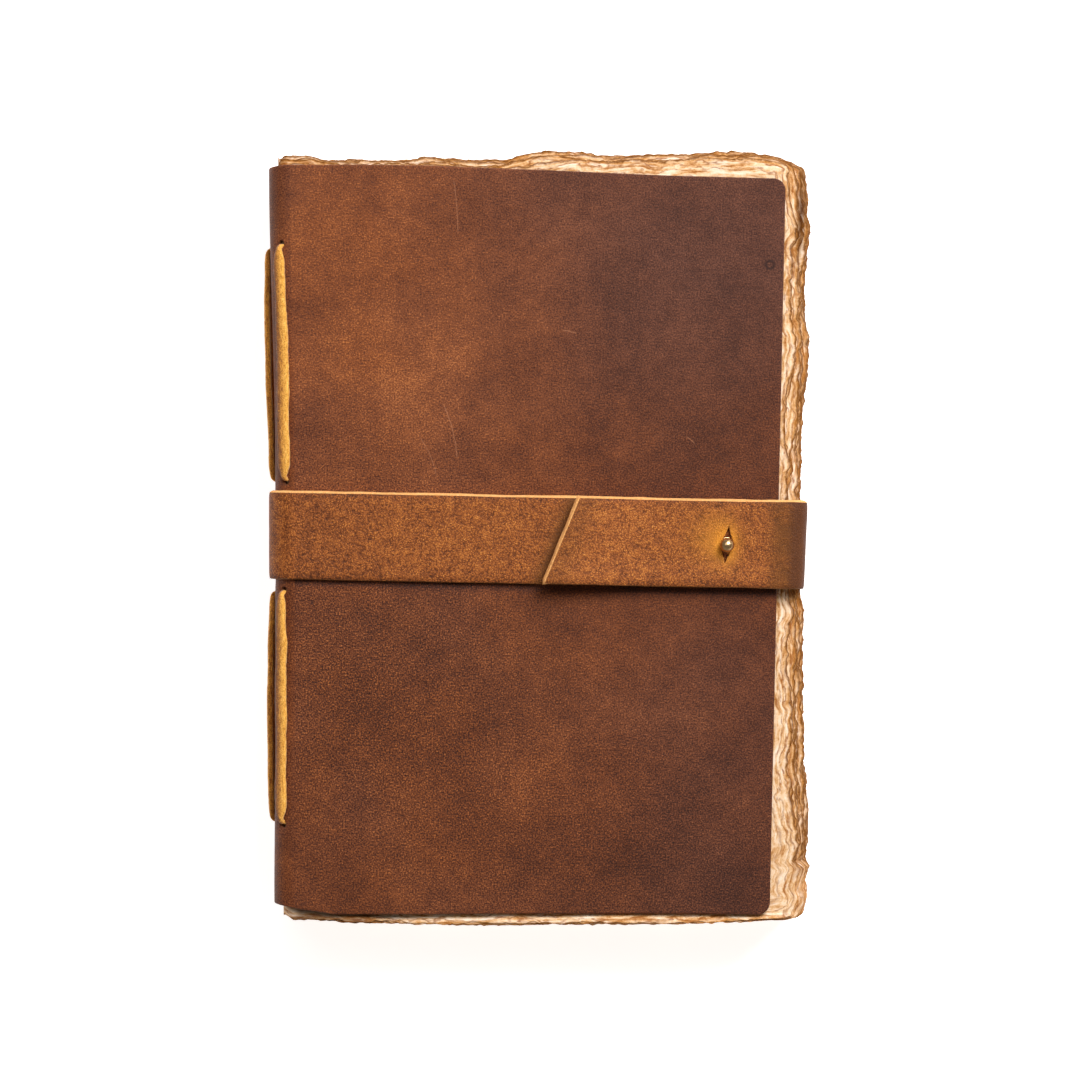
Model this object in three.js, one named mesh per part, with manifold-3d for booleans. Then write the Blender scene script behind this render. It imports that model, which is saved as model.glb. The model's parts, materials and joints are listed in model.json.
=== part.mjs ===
// A hand-bound leather journal, shut and strapped, lying on its back cover. Millimetres.
// +X points to the fore edge, +Y to the head of the pages and +Z through the thickness.
// Z = 0 is the outside of the strap under the back cover. The leather that bends is cut
// into strips along its bending lines, so each strip turns with the signature sewn to it.
import * as THREE from 'three';
import { mergeVertices } from 'three/addons/utils/BufferGeometryUtils.js';
import Module from 'manifold-3d';

const wasm = await Module();
wasm.setup();

// Leather
const GAP = 0.3;
const COVER_THICK = 2.0;
const STRAP_THICK = 1.8;
const STRAP_WIDTH = 28.8;
const STRAP_CENTRE_Y = -0.6;
const STRAP_SKEW = 0.0194;
const HINGE_GAP = 1.2;

// Page block: five signatures, each of nested folded bundles of sheets
const SIGNATURES = 5;
const SIGNATURE_PITCH = 6.9;
const BUNDLE_NAMES = ['outer', 'middle', 'inner'];
const BUNDLE_THICK = 0.7;
const BUNDLE_GAP = 0.25;
const PAGE_HEIGHT = 253;
const PAGE_FORE_X = 85.6;
const FOLD_X = -84.2;

// Levels through the thickness
const BACK_OUTER = STRAP_THICK + GAP;
const BACK_INNER = BACK_OUTER + COVER_THICK;
const RUN_LOW = BACK_INNER + GAP;
const PAGES_LOW = RUN_LOW + STRAP_THICK + GAP;
const PAGES_HIGH = PAGES_LOW + SIGNATURES * SIGNATURE_PITCH;
const FRONT_INNER = PAGES_HIGH + GAP;
const FRONT_OUTER = FRONT_INNER + COVER_THICK;
const ARM_LOW = FRONT_OUTER + GAP;
const ARM_HIGH = ARM_LOW + STRAP_THICK;
const FLAP_LOW = ARM_HIGH + GAP;
const FLAP_HIGH = FLAP_LOW + STRAP_THICK;

// Covers and rounded spine
const HALF_WIDTH = 89.4;
const SPINE_OUTER_X = STRAP_THICK + GAP - HALF_WIDTH;
const SPINE_RADIUS = 7;
const SPINE_CENTRE_X = SPINE_OUTER_X + SPINE_RADIUS;
const SPINE_STEPS = 6;
const COVER_HALF_HEIGHT = 121.7;
const COVER_FORE_X = 79.4;
const COVER_CORNER = 3.5;
const FRONT_SKEW = 0.022;
const FRONT_LIFT = -0.9;

// Lacing through four holes in each fold
const HOLE_Y = [98.5, 19.0, -17.1, -94.7];
const LACE_WIDTH = 2.8;
const LACE_THICK = 1.8;
const LACE_CORNER = 0.5;
const LEG_RADIUS = 0.95;
const HOLE_RADIUS = 1.45;
const INSIDE_WIDTH = 2.2;
const INSIDE_THICK = 0.9;

// Strap: corner at the fore edge, passage through the back cover, pointed end
const STRAP_RADIUS = 5;
const STRAP_STEPS = 4;
const SLOT_X = 25;
const RAMP_LENGTH = 8;
const SLOT_CLEAR = 0.4;
const SLOT_SIDE_CLEAR = 0.6;
const ARM_END_X = 72;
const END_UPPER_X = 13.9;
const END_LOWER_X = 2.3;

// Ball stud and its screw
const STUD = new THREE.Vector2(62.4, -2.15);
const BALL_RADIUS = 2.35;
const BALL_Z = FLAP_HIGH + 2.2;
const NECK_RADIUS = 1.2;
const FLANGE_RADIUS = 3.2;
const FLANGE_THICK = 0.7;
const POST_RADIUS = 2.1;
const BORE_RADIUS = 1.5;
const SCREW_HEAD_RADIUS = 4.0;
const SCREW_HEAD_THICK = 0.8;
const SCREW_SHANK_RADIUS = 1.2;
const SCREW_SLOT_WIDTH = 1.0;
const SCREW_SLOT_DEEP = 0.35;
const SLIT_HALF_LENGTH = 6.5;
const SLIT_HALF_WIDTH = 2.7;
const SLIT_TILT = -0.136;
const ROUND_SIDES = 16;

const book = new THREE.Group();

const LOOKS = {
  cover: { color: 0x6f3d22, roughness: 0.55, metalness: 0 },
  strap: { color: 0x8f5c2a, roughness: 0.5, metalness: 0 },
  lace: { color: 0xb9782c, roughness: 0.7, metalness: 0 },
  paper: { color: 0xe0c299, roughness: 0.9, metalness: 0 },
  brass: { color: 0xb59a5e, roughness: 0.3, metalness: 1 },
};

function add(name, look, geometry) {
  const mesh = new THREE.Mesh(geometry, new THREE.MeshStandardMaterial(LOOKS[look]));
  mesh.name = name;
  book.add(mesh);
}

// Closed mesh to solid and back, for cuts and joins
function toSolid(geometry) {
  const bare = geometry.clone();
  bare.deleteAttribute('normal');
  bare.deleteAttribute('uv');
  const merged = mergeVertices(bare, 1e-4);
  return new wasm.Manifold(new wasm.Mesh({
    numProp: 3,
    vertProperties: new Float32Array(merged.attributes.position.array),
    triVerts: new Uint32Array(merged.index.array),
  }));
}

function toGeometry(solid) {
  const mesh = solid.getMesh();
  const geometry = new THREE.BufferGeometry();
  geometry.setAttribute('position', new THREE.BufferAttribute(mesh.vertProperties, 3));
  geometry.setIndex(new THREE.BufferAttribute(mesh.triVerts, 1));
  geometry.computeVertexNormals();
  return geometry;
}

function cut(geometry, cutters) {
  return toGeometry(cutters.reduce((solid, cutter) => solid.subtract(toSolid(cutter)), toSolid(geometry)));
}

function join(pieces) {
  return toGeometry(pieces.slice(1).reduce((solid, piece) => solid.add(toSolid(piece)), toSolid(pieces[0])));
}

// Prisms: a plan outline raised along Z, and a section outline in X and Z run along Y
function raised(outline, low, high) {
  const shape = new THREE.Shape(outline);
  const geometry = new THREE.ExtrudeGeometry(shape, { depth: high - low, bevelEnabled: false });
  return geometry.translate(0, 0, low);
}

function alongY(outline, low, high) {
  const shape = new THREE.Shape(outline);
  const geometry = new THREE.ExtrudeGeometry(shape, { depth: high - low, bevelEnabled: false });
  return geometry.rotateX(Math.PI / 2).translate(0, high, 0);
}

function rectangle(xLow, xHigh, yLow, yHigh) {
  return [[xLow, yLow], [xHigh, yLow], [xHigh, yHigh], [xLow, yHigh]].map(([x, y]) => new THREE.Vector2(x, y));
}

function arcPoints(centreX, centreY, radius, from, to, steps) {
  const points = [];
  for (let i = 0; i <= steps; i += 1) {
    const angle = from + ((to - from) * i) / steps;
    points.push(new THREE.Vector2(centreX + radius * Math.cos(angle), centreY + radius * Math.sin(angle)));
  }
  return points;
}

// Moves everything on the strap across by its slight slant over the book
function slanted(geometry, slope) {
  return geometry.applyMatrix4(new THREE.Matrix4().set(1, 0, 0, 0, -slope, 1, 0, 0, 0, 0, 1, 0, 0, 0, 0, 1));
}

// A round bar between two points
function rod(from, to, radius, sides) {
  const axis = new THREE.Vector3().subVectors(to, from);
  const geometry = new THREE.CylinderGeometry(radius, radius, axis.length(), sides);
  const turn = new THREE.Quaternion().setFromUnitVectors(new THREE.Vector3(0, 1, 0), axis.clone().normalize());
  const middle = new THREE.Vector3().addVectors(from, to).multiplyScalar(0.5);
  return geometry.applyQuaternion(turn).translate(middle.x, middle.y, middle.z);
}

function studBore(radius, low, high) {
  return rod(new THREE.Vector3(STUD.x, STUD.y, low), new THREE.Vector3(STUD.x, STUD.y, high), radius, ROUND_SIDES);
}

// The spine's outside, as a path from the front cover (0) round to the back cover (SPINE_GIRTH)
const QUARTER = (SPINE_RADIUS * Math.PI) / 2;
const SPINE_FLAT = FRONT_OUTER - BACK_OUTER - 2 * SPINE_RADIUS;
const SPINE_GIRTH = 2 * QUARTER + SPINE_FLAT;
const SECTION_GIRTH = SPINE_GIRTH / SIGNATURES;

function spineNormal(girth) {
  let angle = Math.PI / 2;
  if (girth < QUARTER) angle = girth / SPINE_RADIUS;
  if (girth > QUARTER + SPINE_FLAT) angle = Math.PI - (SPINE_GIRTH - girth) / SPINE_RADIUS;
  return new THREE.Vector2(-Math.sin(angle), Math.cos(angle));
}

function spinePoint(girth, offset) {
  const normal = spineNormal(girth);
  let centreZ = FRONT_OUTER - SPINE_RADIUS;
  if (girth > QUARTER) centreZ -= Math.min(girth - QUARTER, SPINE_FLAT);
  const reach = SPINE_RADIUS + offset;
  return new THREE.Vector2(SPINE_CENTRE_X + reach * normal.x, centreZ + reach * normal.y);
}

// Section of a band that follows the spine between two girths and two offsets
function spineBand(girthFrom, girthTo, inside, outside) {
  const stations = [girthFrom];
  for (let i = 1; i <= SPINE_STEPS; i += 1) stations.push((QUARTER * i) / SPINE_STEPS);
  for (let i = SPINE_STEPS; i >= 1; i -= 1) stations.push(SPINE_GIRTH - (QUARTER * i) / SPINE_STEPS);
  const kept = stations.filter((girth) => girth >= girthFrom && girth < girthTo - 0.2);
  kept.push(girthTo);
  const outer = kept.map((girth) => spinePoint(girth, outside));
  const inner = kept.map((girth) => spinePoint(girth, inside)).reverse();
  return outer.concat(inner);
}

// Place of each signature's fold and of its lace
function signatureZ(number) {
  return PAGES_HIGH - SIGNATURE_PITCH * (number - 0.5);
}

function lacePlace(number) {
  const girth = SECTION_GIRTH * (number - 0.5);
  const normal = spineNormal(girth);
  const outside = spinePoint(girth, GAP + LACE_THICK / 2);
  return { normal, outside, insideZ: signatureZ(number) };
}

const FOLD_RADIUS = (SIGNATURE_PITCH - GAP) / 2;
const FOLD_CENTRE_X = FOLD_X + FOLD_RADIUS;
const INSIDE_X = FOLD_CENTRE_X + INSIDE_WIDTH / 2;

function legRods(number, radius, beyond) {
  const { outside, insideZ } = lacePlace(number);
  return HOLE_Y.map((y) => {
    const start = new THREE.Vector3(outside.x, y, outside.y);
    const end = new THREE.Vector3(INSIDE_X, y, insideZ);
    const along = new THREE.Vector3().subVectors(start, end).normalize();
    return rod(start.addScaledVector(along, beyond), end, radius, 8);
  });
}

function addCovers() {
  const hingeX = SPINE_CENTRE_X + GAP / 2;
  const corner = (x, y, from) => arcPoints(x, y, COVER_CORNER, from, from + Math.PI / 2, 4);
  const plan = [
    new THREE.Vector2(hingeX, -COVER_HALF_HEIGHT),
    ...corner(COVER_FORE_X - COVER_CORNER, COVER_CORNER - COVER_HALF_HEIGHT, -Math.PI / 2),
    ...corner(COVER_FORE_X - COVER_CORNER, COVER_HALF_HEIGHT - COVER_CORNER, 0),
    new THREE.Vector2(hingeX, COVER_HALF_HEIGHT),
  ];
  const share = (x) => (x - hingeX) / (COVER_FORE_X - hingeX);
  const frontPlan = plan.map(({ x, y }) => (
    new THREE.Vector2(x + FRONT_SKEW * y * share(x), y - FRONT_SKEW * x + FRONT_LIFT)));
  const screwSeat = FRONT_INNER + SCREW_HEAD_THICK + GAP;
  add('front_cover', 'cover', cut(raised(frontPlan, FRONT_INNER, FRONT_OUTER), [
    studBore(POST_RADIUS + GAP, FRONT_INNER - 1, FRONT_OUTER + 1),
    studBore(SCREW_HEAD_RADIUS + GAP, FRONT_INNER - 1, screwSeat),
  ]));

  const slotHalfWidth = STRAP_WIDTH / 2 + SLOT_SIDE_CLEAR;
  const slots = [-1, 1].map((side) => {
    const near = side * (SLOT_X - SLOT_CLEAR - RAMP_LENGTH);
    const far = side * (SLOT_X + SLOT_CLEAR);
    const outline = rectangle(Math.min(near, far), Math.max(near, far), -slotHalfWidth, slotHalfWidth);
    const block = raised(outline, BACK_OUTER - 1, BACK_INNER + 1).translate(0, STRAP_CENTRE_Y, 0);
    return slanted(block, STRAP_SKEW);
  });
  add('back_cover', 'cover', cut(raised(plan, BACK_OUTER, BACK_INNER), slots));
}

// One strip of spine leather for each signature, with the lace's four holes
function addSpinePanels() {
  for (let number = 1; number <= SIGNATURES; number += 1) {
    const from = SECTION_GIRTH * (number - 1) + GAP / 2;
    const to = SECTION_GIRTH * number - GAP / 2;
    const lift = (1 - (number - 0.5) / SIGNATURES) * (FRONT_LIFT - FRONT_SKEW * SPINE_CENTRE_X);
    const panel = alongY(spineBand(from, to, -COVER_THICK, 0), lift - COVER_HALF_HEIGHT, lift + COVER_HALF_HEIGHT);
    add(`spine_panel_${number}`, 'cover', cut(panel, legRods(number, HOLE_RADIUS, LACE_THICK)));
  }
}

// A folded bundle of sheets, as a long U with its fold at the spine
function foldedBundle(centreZ, radius) {
  const inside = radius - BUNDLE_THICK;
  const quarter = Math.PI / 2;
  return [
    new THREE.Vector2(PAGE_FORE_X, centreZ + radius),
    ...arcPoints(FOLD_CENTRE_X, centreZ, radius, quarter, 3 * quarter, 6),
    new THREE.Vector2(PAGE_FORE_X, centreZ - radius),
    new THREE.Vector2(PAGE_FORE_X, centreZ - inside),
    ...arcPoints(FOLD_CENTRE_X, centreZ, inside, 3 * quarter, quarter, 6),
    new THREE.Vector2(PAGE_FORE_X, centreZ + inside),
  ];
}

function addSignatures() {
  for (let number = 1; number <= SIGNATURES; number += 1) {
    BUNDLE_NAMES.forEach((bundle, depth) => {
      const radius = FOLD_RADIUS - depth * (BUNDLE_THICK + BUNDLE_GAP);
      const sheets = alongY(foldedBundle(signatureZ(number), radius), -PAGE_HEIGHT / 2, PAGE_HEIGHT / 2);
      add(`signature_${number}_${bundle}`, 'paper', cut(sheets, legRods(number, HOLE_RADIUS, LACE_THICK)));
    });
  }
}

// One lace for each signature: two long stitches outside, four legs and a run inside the fold
function stitch(number, yLow, yHigh) {
  const { normal, outside } = lacePlace(number);
  const across = LACE_WIDTH / 2;
  const proud = LACE_THICK / 2;
  const section = [
    [across - LACE_CORNER, -proud], [across, LACE_CORNER - proud], [across, proud - LACE_CORNER],
    [across - LACE_CORNER, proud], [LACE_CORNER - across, proud], [-across, proud - LACE_CORNER],
    [-across, LACE_CORNER - proud], [LACE_CORNER - across, -proud],
  ];
  const outline = section.map(([u, v]) => new THREE.Vector2(
    outside.x + u * normal.y + v * normal.x,
    outside.y - u * normal.x + v * normal.y,
  ));
  return alongY(outline, yLow - LEG_RADIUS, yHigh + LEG_RADIUS);
}

function addLaces() {
  for (let number = 1; number <= SIGNATURES; number += 1) {
    const z = signatureZ(number);
    const [headTop, headLow, tailTop, tailLow] = HOLE_Y;
    const inside = alongY(
      rectangle(FOLD_CENTRE_X, FOLD_CENTRE_X + INSIDE_WIDTH, z - INSIDE_THICK / 2, z + INSIDE_THICK / 2),
      tailLow - LEG_RADIUS,
      headTop + LEG_RADIUS,
    );
    add(`lace_${number}`, 'lace', join([
      inside,
      ...legRods(number, LEG_RADIUS, 0),
      stitch(number, headLow, headTop),
      stitch(number, tailLow, tailTop),
    ]));
  }
}

function strapPiece(outline) {
  const piece = alongY(outline, STRAP_CENTRE_Y - STRAP_WIDTH / 2, STRAP_CENTRE_Y + STRAP_WIDTH / 2);
  return slanted(piece, STRAP_SKEW);
}

const CORNER_X = HALF_WIDTH - STRAP_RADIUS;
const CORNER_HALF_GAP = GAP / 2 / STRAP_RADIUS;

// Points on the outer or inner side of the strap as it turns a fore-edge corner
function strapCorner(centreZ, inset, from, to) {
  return arcPoints(CORNER_X, centreZ, STRAP_RADIUS - inset, from, to, STRAP_STEPS / 2);
}

function addStrapFront() {
  const start = SPINE_CENTRE_X + HINGE_GAP / 2;
  const flangeSeat = ARM_HIGH - FLANGE_THICK - GAP;
  add('strap_stud_arm', 'strap', cut(strapPiece(rectangle(start, ARM_END_X, ARM_LOW, ARM_HIGH)), [
    studBore(POST_RADIUS + GAP, ARM_LOW - 1, ARM_HIGH + 1),
    studBore(FLANGE_RADIUS + GAP, flangeSeat, ARM_HIGH + 1),
  ]));
}

function addStrapSpine() {
  for (let number = 1; number <= SIGNATURES; number += 1) {
    const from = SECTION_GIRTH * (number - 1) + HINGE_GAP / 2;
    const to = SECTION_GIRTH * number - HINGE_GAP / 2;
    add(`strap_spine_${number}`, 'strap', strapPiece(spineBand(from, to, GAP, GAP + STRAP_THICK)));
  }
}

// Under the back cover, in through one slot, along the inside and out through the other
function addStrapBack() {
  const start = SPINE_CENTRE_X + HINGE_GAP / 2;
  const lean = STRAP_THICK * Math.tan(Math.atan2(RUN_LOW, RAMP_LENGTH) / 2);
  const innerX = SLOT_X - RAMP_LENGTH;
  const lastAngle = -Math.PI / 4 - CORNER_HALF_GAP;
  const lower = [[start, 0], [-SLOT_X, 0], [-innerX, RUN_LOW], [innerX, RUN_LOW], [SLOT_X, 0]];
  const upper = [
    [SLOT_X + lean, STRAP_THICK],
    [innerX + lean, RUN_LOW + STRAP_THICK],
    [-innerX - lean, RUN_LOW + STRAP_THICK],
    [-SLOT_X - lean, STRAP_THICK],
    [start, STRAP_THICK],
  ];
  add('strap_back', 'strap', strapPiece([
    ...lower.map(([x, z]) => new THREE.Vector2(x, z)),
    ...strapCorner(STRAP_RADIUS, 0, -Math.PI / 2, lastAngle),
    ...strapCorner(STRAP_RADIUS, STRAP_THICK, lastAngle, -Math.PI / 2),
    ...upper.map(([x, z]) => new THREE.Vector2(x, z)),
  ]));
}

function addStrapForeEdge() {
  const low = STRAP_RADIUS;
  const high = FLAP_HIGH - STRAP_RADIUS;
  const angle = Math.PI / 4 - CORNER_HALF_GAP;
  add('strap_fore_edge', 'strap', strapPiece([
    ...strapCorner(low, 0, -angle, 0),
    ...strapCorner(high, 0, 0, angle),
    ...strapCorner(high, STRAP_THICK, angle, 0),
    ...strapCorner(low, STRAP_THICK, 0, -angle),
  ]));
}

// The buttoning end, with its slanted tip and the slit that the ball passes through
function addStrapFlap() {
  const high = FLAP_HIGH - STRAP_RADIUS;
  const angle = Math.PI / 4 + CORNER_HALF_GAP;
  const flap = strapPiece([
    new THREE.Vector2(END_LOWER_X - 5, FLAP_LOW),
    ...strapCorner(high, STRAP_THICK, Math.PI / 2, angle),
    ...strapCorner(high, 0, angle, Math.PI / 2),
    new THREE.Vector2(END_LOWER_X - 5, FLAP_HIGH),
  ]);
  const rise = STRAP_WIDTH * 0.6;
  const run = ((END_UPPER_X - END_LOWER_X) / STRAP_WIDTH) * rise;
  const tipX = (END_UPPER_X + END_LOWER_X) / 2;
  const tipY = STRAP_CENTRE_Y - STRAP_SKEW * tipX;
  const offcut = raised([
    new THREE.Vector2(tipX + run, tipY + rise),
    new THREE.Vector2(tipX - 40, tipY + rise),
    new THREE.Vector2(tipX - 40, tipY - rise),
    new THREE.Vector2(tipX - run, tipY - rise),
  ], FLAP_LOW - 1, FLAP_HIGH + 1);
  const slit = raised(
    new THREE.EllipseCurve(STUD.x, STUD.y, SLIT_HALF_WIDTH, SLIT_HALF_LENGTH, 0, 2 * Math.PI, false, SLIT_TILT)
      .getPoints(ROUND_SIDES).slice(0, -1),
    FLAP_LOW - 1,
    FLAP_HIGH + 1,
  );
  add('strap_flap', 'strap', cut(flap, [offcut, slit]));
}

function turned(profile) {
  const points = profile.map(([radius, z]) => new THREE.Vector2(radius, z));
  const geometry = new THREE.LatheGeometry(points, ROUND_SIDES);
  return geometry.rotateX(Math.PI / 2).translate(STUD.x, STUD.y, 0);
}

// Ball, neck, flange let into the strap, and hollow post that takes the screw
function addStud() {
  const postLow = FRONT_INNER + SCREW_HEAD_THICK + GAP + 0.1;
  const flangeLow = ARM_HIGH - FLANGE_THICK;
  const boreHigh = ARM_HIGH - 0.5;
  const neckAngle = Math.asin(NECK_RADIUS / BALL_RADIUS);
  const ball = arcPoints(0, BALL_Z, BALL_RADIUS, neckAngle - Math.PI / 2, Math.PI / 2, 8);
  const profile = [
    [0, boreHigh], [BORE_RADIUS, boreHigh], [BORE_RADIUS, postLow], [POST_RADIUS, postLow],
    [POST_RADIUS, flangeLow], [FLANGE_RADIUS, flangeLow], [FLANGE_RADIUS, ARM_HIGH], [NECK_RADIUS, ARM_HIGH],
    ...ball.slice(0, -1).map(({ x, y }) => [x, y]),
    [0, BALL_Z + BALL_RADIUS],
  ];
  add('stud_ball', 'brass', turned(profile));

  const headLow = FRONT_INNER + 0.05;
  const headHigh = FRONT_INNER + SCREW_HEAD_THICK;
  const screw = turned([
    [0, headLow], [SCREW_HEAD_RADIUS, headLow], [SCREW_HEAD_RADIUS, headHigh],
    [SCREW_SHANK_RADIUS, headHigh], [SCREW_SHANK_RADIUS, boreHigh - GAP], [0, boreHigh - GAP],
  ]);
  const halfSlot = SCREW_SLOT_WIDTH / 2;
  const driverSlot = raised(
    rectangle(STUD.x - halfSlot, STUD.x + halfSlot, STUD.y - 6, STUD.y + 6),
    headLow - 1,
    headLow + SCREW_SLOT_DEEP,
  );
  add('stud_screw', 'brass', cut(screw, [driverSlot]));
}

addCovers();
addSpinePanels();
addSignatures();
addLaces();
addStrapFront();
addStrapSpine();
addStrapBack();
addStrapForeEdge();
addStrapFlap();
addStud();

export default book;
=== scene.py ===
"""A hand-bound leather journal, shut and strapped, lying on its back cover.

Leather is made flat, as a grid in three lengths (along the route round the book, up the book, and
height over the grain side), and then laid along its route. Lengths are millimetres until a mesh is
made. The flat place of every point is kept on the mesh, so the leather's grain bends with it.
"""
import json
import math

import bpy
import numpy as np
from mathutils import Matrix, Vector


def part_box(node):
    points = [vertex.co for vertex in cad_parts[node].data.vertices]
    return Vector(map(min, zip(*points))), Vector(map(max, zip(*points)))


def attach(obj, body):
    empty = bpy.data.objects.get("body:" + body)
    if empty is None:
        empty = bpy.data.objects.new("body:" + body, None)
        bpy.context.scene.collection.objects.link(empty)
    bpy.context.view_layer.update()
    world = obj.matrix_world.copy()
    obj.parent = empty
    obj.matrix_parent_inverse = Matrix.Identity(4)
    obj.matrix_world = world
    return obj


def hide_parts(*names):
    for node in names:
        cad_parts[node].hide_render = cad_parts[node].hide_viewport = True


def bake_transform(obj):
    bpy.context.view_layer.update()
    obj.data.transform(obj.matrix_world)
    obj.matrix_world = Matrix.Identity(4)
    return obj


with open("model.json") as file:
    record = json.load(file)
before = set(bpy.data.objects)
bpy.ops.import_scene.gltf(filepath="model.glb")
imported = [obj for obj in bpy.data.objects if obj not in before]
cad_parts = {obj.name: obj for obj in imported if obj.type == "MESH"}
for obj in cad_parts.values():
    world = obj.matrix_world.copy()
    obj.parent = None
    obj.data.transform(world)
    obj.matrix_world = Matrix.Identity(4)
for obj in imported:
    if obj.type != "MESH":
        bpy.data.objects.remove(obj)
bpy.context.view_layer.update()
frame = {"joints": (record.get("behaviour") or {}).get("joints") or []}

MM = 0.001


# ---------------------------------------------------------------- places taken from the frame

def box(node):
    low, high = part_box(node)
    return np.array(low) / MM, np.array(high) / MM


def hinge(name):
    found = next(joint for joint in frame["joints"] if joint["name"] == name)
    return found["pos_m"][0] / MM, found["pos_m"][2] / MM


FRONT_LOW, FRONT_HIGH = box("front_cover")
BACK_LOW, BACK_HIGH = box("back_cover")
SPINE_X = box("spine_panel_3")[0][0]
SPINE_HINGES = [hinge(name) for name in (
    "front_cover_bends", "spine_bends_1", "spine_bends_2", "spine_bends_3", "spine_bends_4", "book_opens")]
CENTRE_X = SPINE_HINGES[0][0]
SPINE_R = CENTRE_X - SPINE_X
COVER_T = FRONT_HIGH[2] - FRONT_LOW[2]
ARM_LOW, ARM_HIGH = box("strap_stud_arm")
FLAP_HIGH_Z = box("strap_flap")[1][2]
STRAP_T = ARM_HIGH[2] - ARM_LOW[2]
STRAP_OUT = ARM_HIGH[2] - FRONT_HIGH[2]
RUN_HIGH_Z = box("strap_back")[1][2]
SIDE_X = box("strap_fore_edge")[1][0]
CORNER_R = (SIDE_X - hinge("strap_flap_lifts")[0]) / (1 - math.cos(math.pi / 4))
STUD_LOW, STUD_HIGH = box("stud_ball")
STUD_X, STUD_Y = (STUD_LOW[:2] + STUD_HIGH[:2]) / 2
PAGES_LOW_Z = box("signature_5_outer")[0][2]
PAGES_HIGH_Z = box("signature_1_outer")[1][2]

SIGNATURES = 5
QUARTER = SPINE_R * math.pi / 2
SPINE_FLAT = FRONT_HIGH[2] - BACK_LOW[2] - 2 * SPINE_R
GIRTH = 2 * QUARTER + SPINE_FLAT
SECTION = GIRTH / SIGNATURES
HOLE_V = [95.8, 18.2, -17.9, -94.9]
FIRST_HOLE_BACK = {"head": 1.4, "tail": 0.4}

# ---------------------------------------------------------------- noise and small sums


def smooth(t):
    t = np.clip(t, 0, 1)
    return t * t * (3 - 2 * t)


def lattice(ix, iy, iz, seed):
    mixed = (ix * 374761393 + iy * 668265263 + iz * 1442695041 + seed * 974634777) & 0xFFFFFFFF
    mixed = ((mixed ^ (mixed >> 13)) * 1274126177) & 0xFFFFFFFF
    return ((mixed ^ (mixed >> 16)) & 0xFFFFFF) / 0x7FFFFF - 1.0


def noise(x, y, z=0.0, seed=0):
    """Smooth values from -1 to 1 that change over about one unit of x, y and z."""
    x, y, z = np.broadcast_arrays(np.asarray(x, float), y, z)
    ix, iy, iz = (np.floor(c).astype(np.int64) for c in (x, y, z))
    fx, fy, fz = smooth(x - ix), smooth(y - iy), smooth(z - iz)
    total = 0.0
    for dx in (0, 1):
        for dy in (0, 1):
            for dz in (0, 1):
                share = (fx if dx else 1 - fx) * (fy if dy else 1 - fy) * (fz if dz else 1 - fz)
                total = total + share * lattice(ix + dx, iy + dy, iz + dz, seed)
    return total


def layered(x, y, z=0.0, seed=0, layers=4, base=0.0):
    """Noise with finer noise added on it, each layer half as large and half as strong."""
    total, strength = base * 1.9, 1.0
    for layer in range(layers):
        scale = 2.03 ** layer
        total = total + strength * noise(np.asarray(x) * scale, np.asarray(y) * scale, z, seed + layer * 17)
        strength *= 0.5
    return total / 1.9


def bump_at(x, y, centre_x, centre_y, width, height):
    return np.exp(-((x - centre_x) / width) ** 2 - ((y - centre_y) / height) ** 2)


def stations(marks, step):
    """Values that hold every mark, with no two neighbours further apart than step."""
    marks = sorted(set(round(float(mark), 4) for mark in marks))
    values = []
    for a, b in zip(marks, marks[1:]):
        count = max(1, math.ceil((b - a) / step - 1e-6))
        values.extend(np.linspace(a, b, count, endpoint=False))
    return np.array(values + [marks[-1]])


# ---------------------------------------------------------------- meshes

def mesh_object(name, points, faces, material, attributes=None, normals=None):
    """A smooth mesh from points in millimetres, with float or vector attributes on its points."""
    mesh = bpy.data.meshes.new(name)
    mesh.vertices.add(len(points))
    mesh.vertices.foreach_set("co", (np.asarray(points) * MM).astype(np.float32).ravel())
    sizes = np.array([len(face) for face in faces])
    loops = np.concatenate([np.asarray(face, np.int32) for face in faces])
    mesh.loops.add(len(loops))
    mesh.loops.foreach_set("vertex_index", loops.astype(np.int32))
    mesh.polygons.add(len(sizes))
    mesh.polygons.foreach_set("loop_start", np.concatenate([[0], np.cumsum(sizes)[:-1]]).astype(np.int32))
    mesh.update(calc_edges=True)
    mesh.polygons.foreach_set("use_smooth", np.ones(len(sizes), bool))
    for key, values in (attributes or {}).items():
        values = np.asarray(values, np.float32)
        kind = "FLOAT_VECTOR" if values.ndim == 2 else "FLOAT"
        field = "vector" if values.ndim == 2 else "value"
        mesh.attributes.new(key, kind, "POINT").data.foreach_set(field, values.ravel())
    if normals is not None:
        mesh.normals_split_custom_set_from_vertices(np.asarray(normals, float).tolist())
    mesh.materials.append(material)
    made = bpy.data.objects.new(name, mesh)
    bpy.context.collection.objects.link(made)
    return made


def vertex_normals(points, faces):
    total = np.zeros_like(points)
    by_size = {}
    for face in faces:
        by_size.setdefault(len(face), []).append(face)
    for size, group in by_size.items():
        group = np.array(group)
        corners = points[group]
        normal = np.zeros((len(group), 3))
        for i in range(size):
            normal += np.cross(corners[:, i], corners[:, (i + 1) % size])
        for i in range(size):
            np.add.at(total, group[:, i], normal)
    return total / np.maximum(np.linalg.norm(total, axis=1, keepdims=True), 1e-12)


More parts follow.
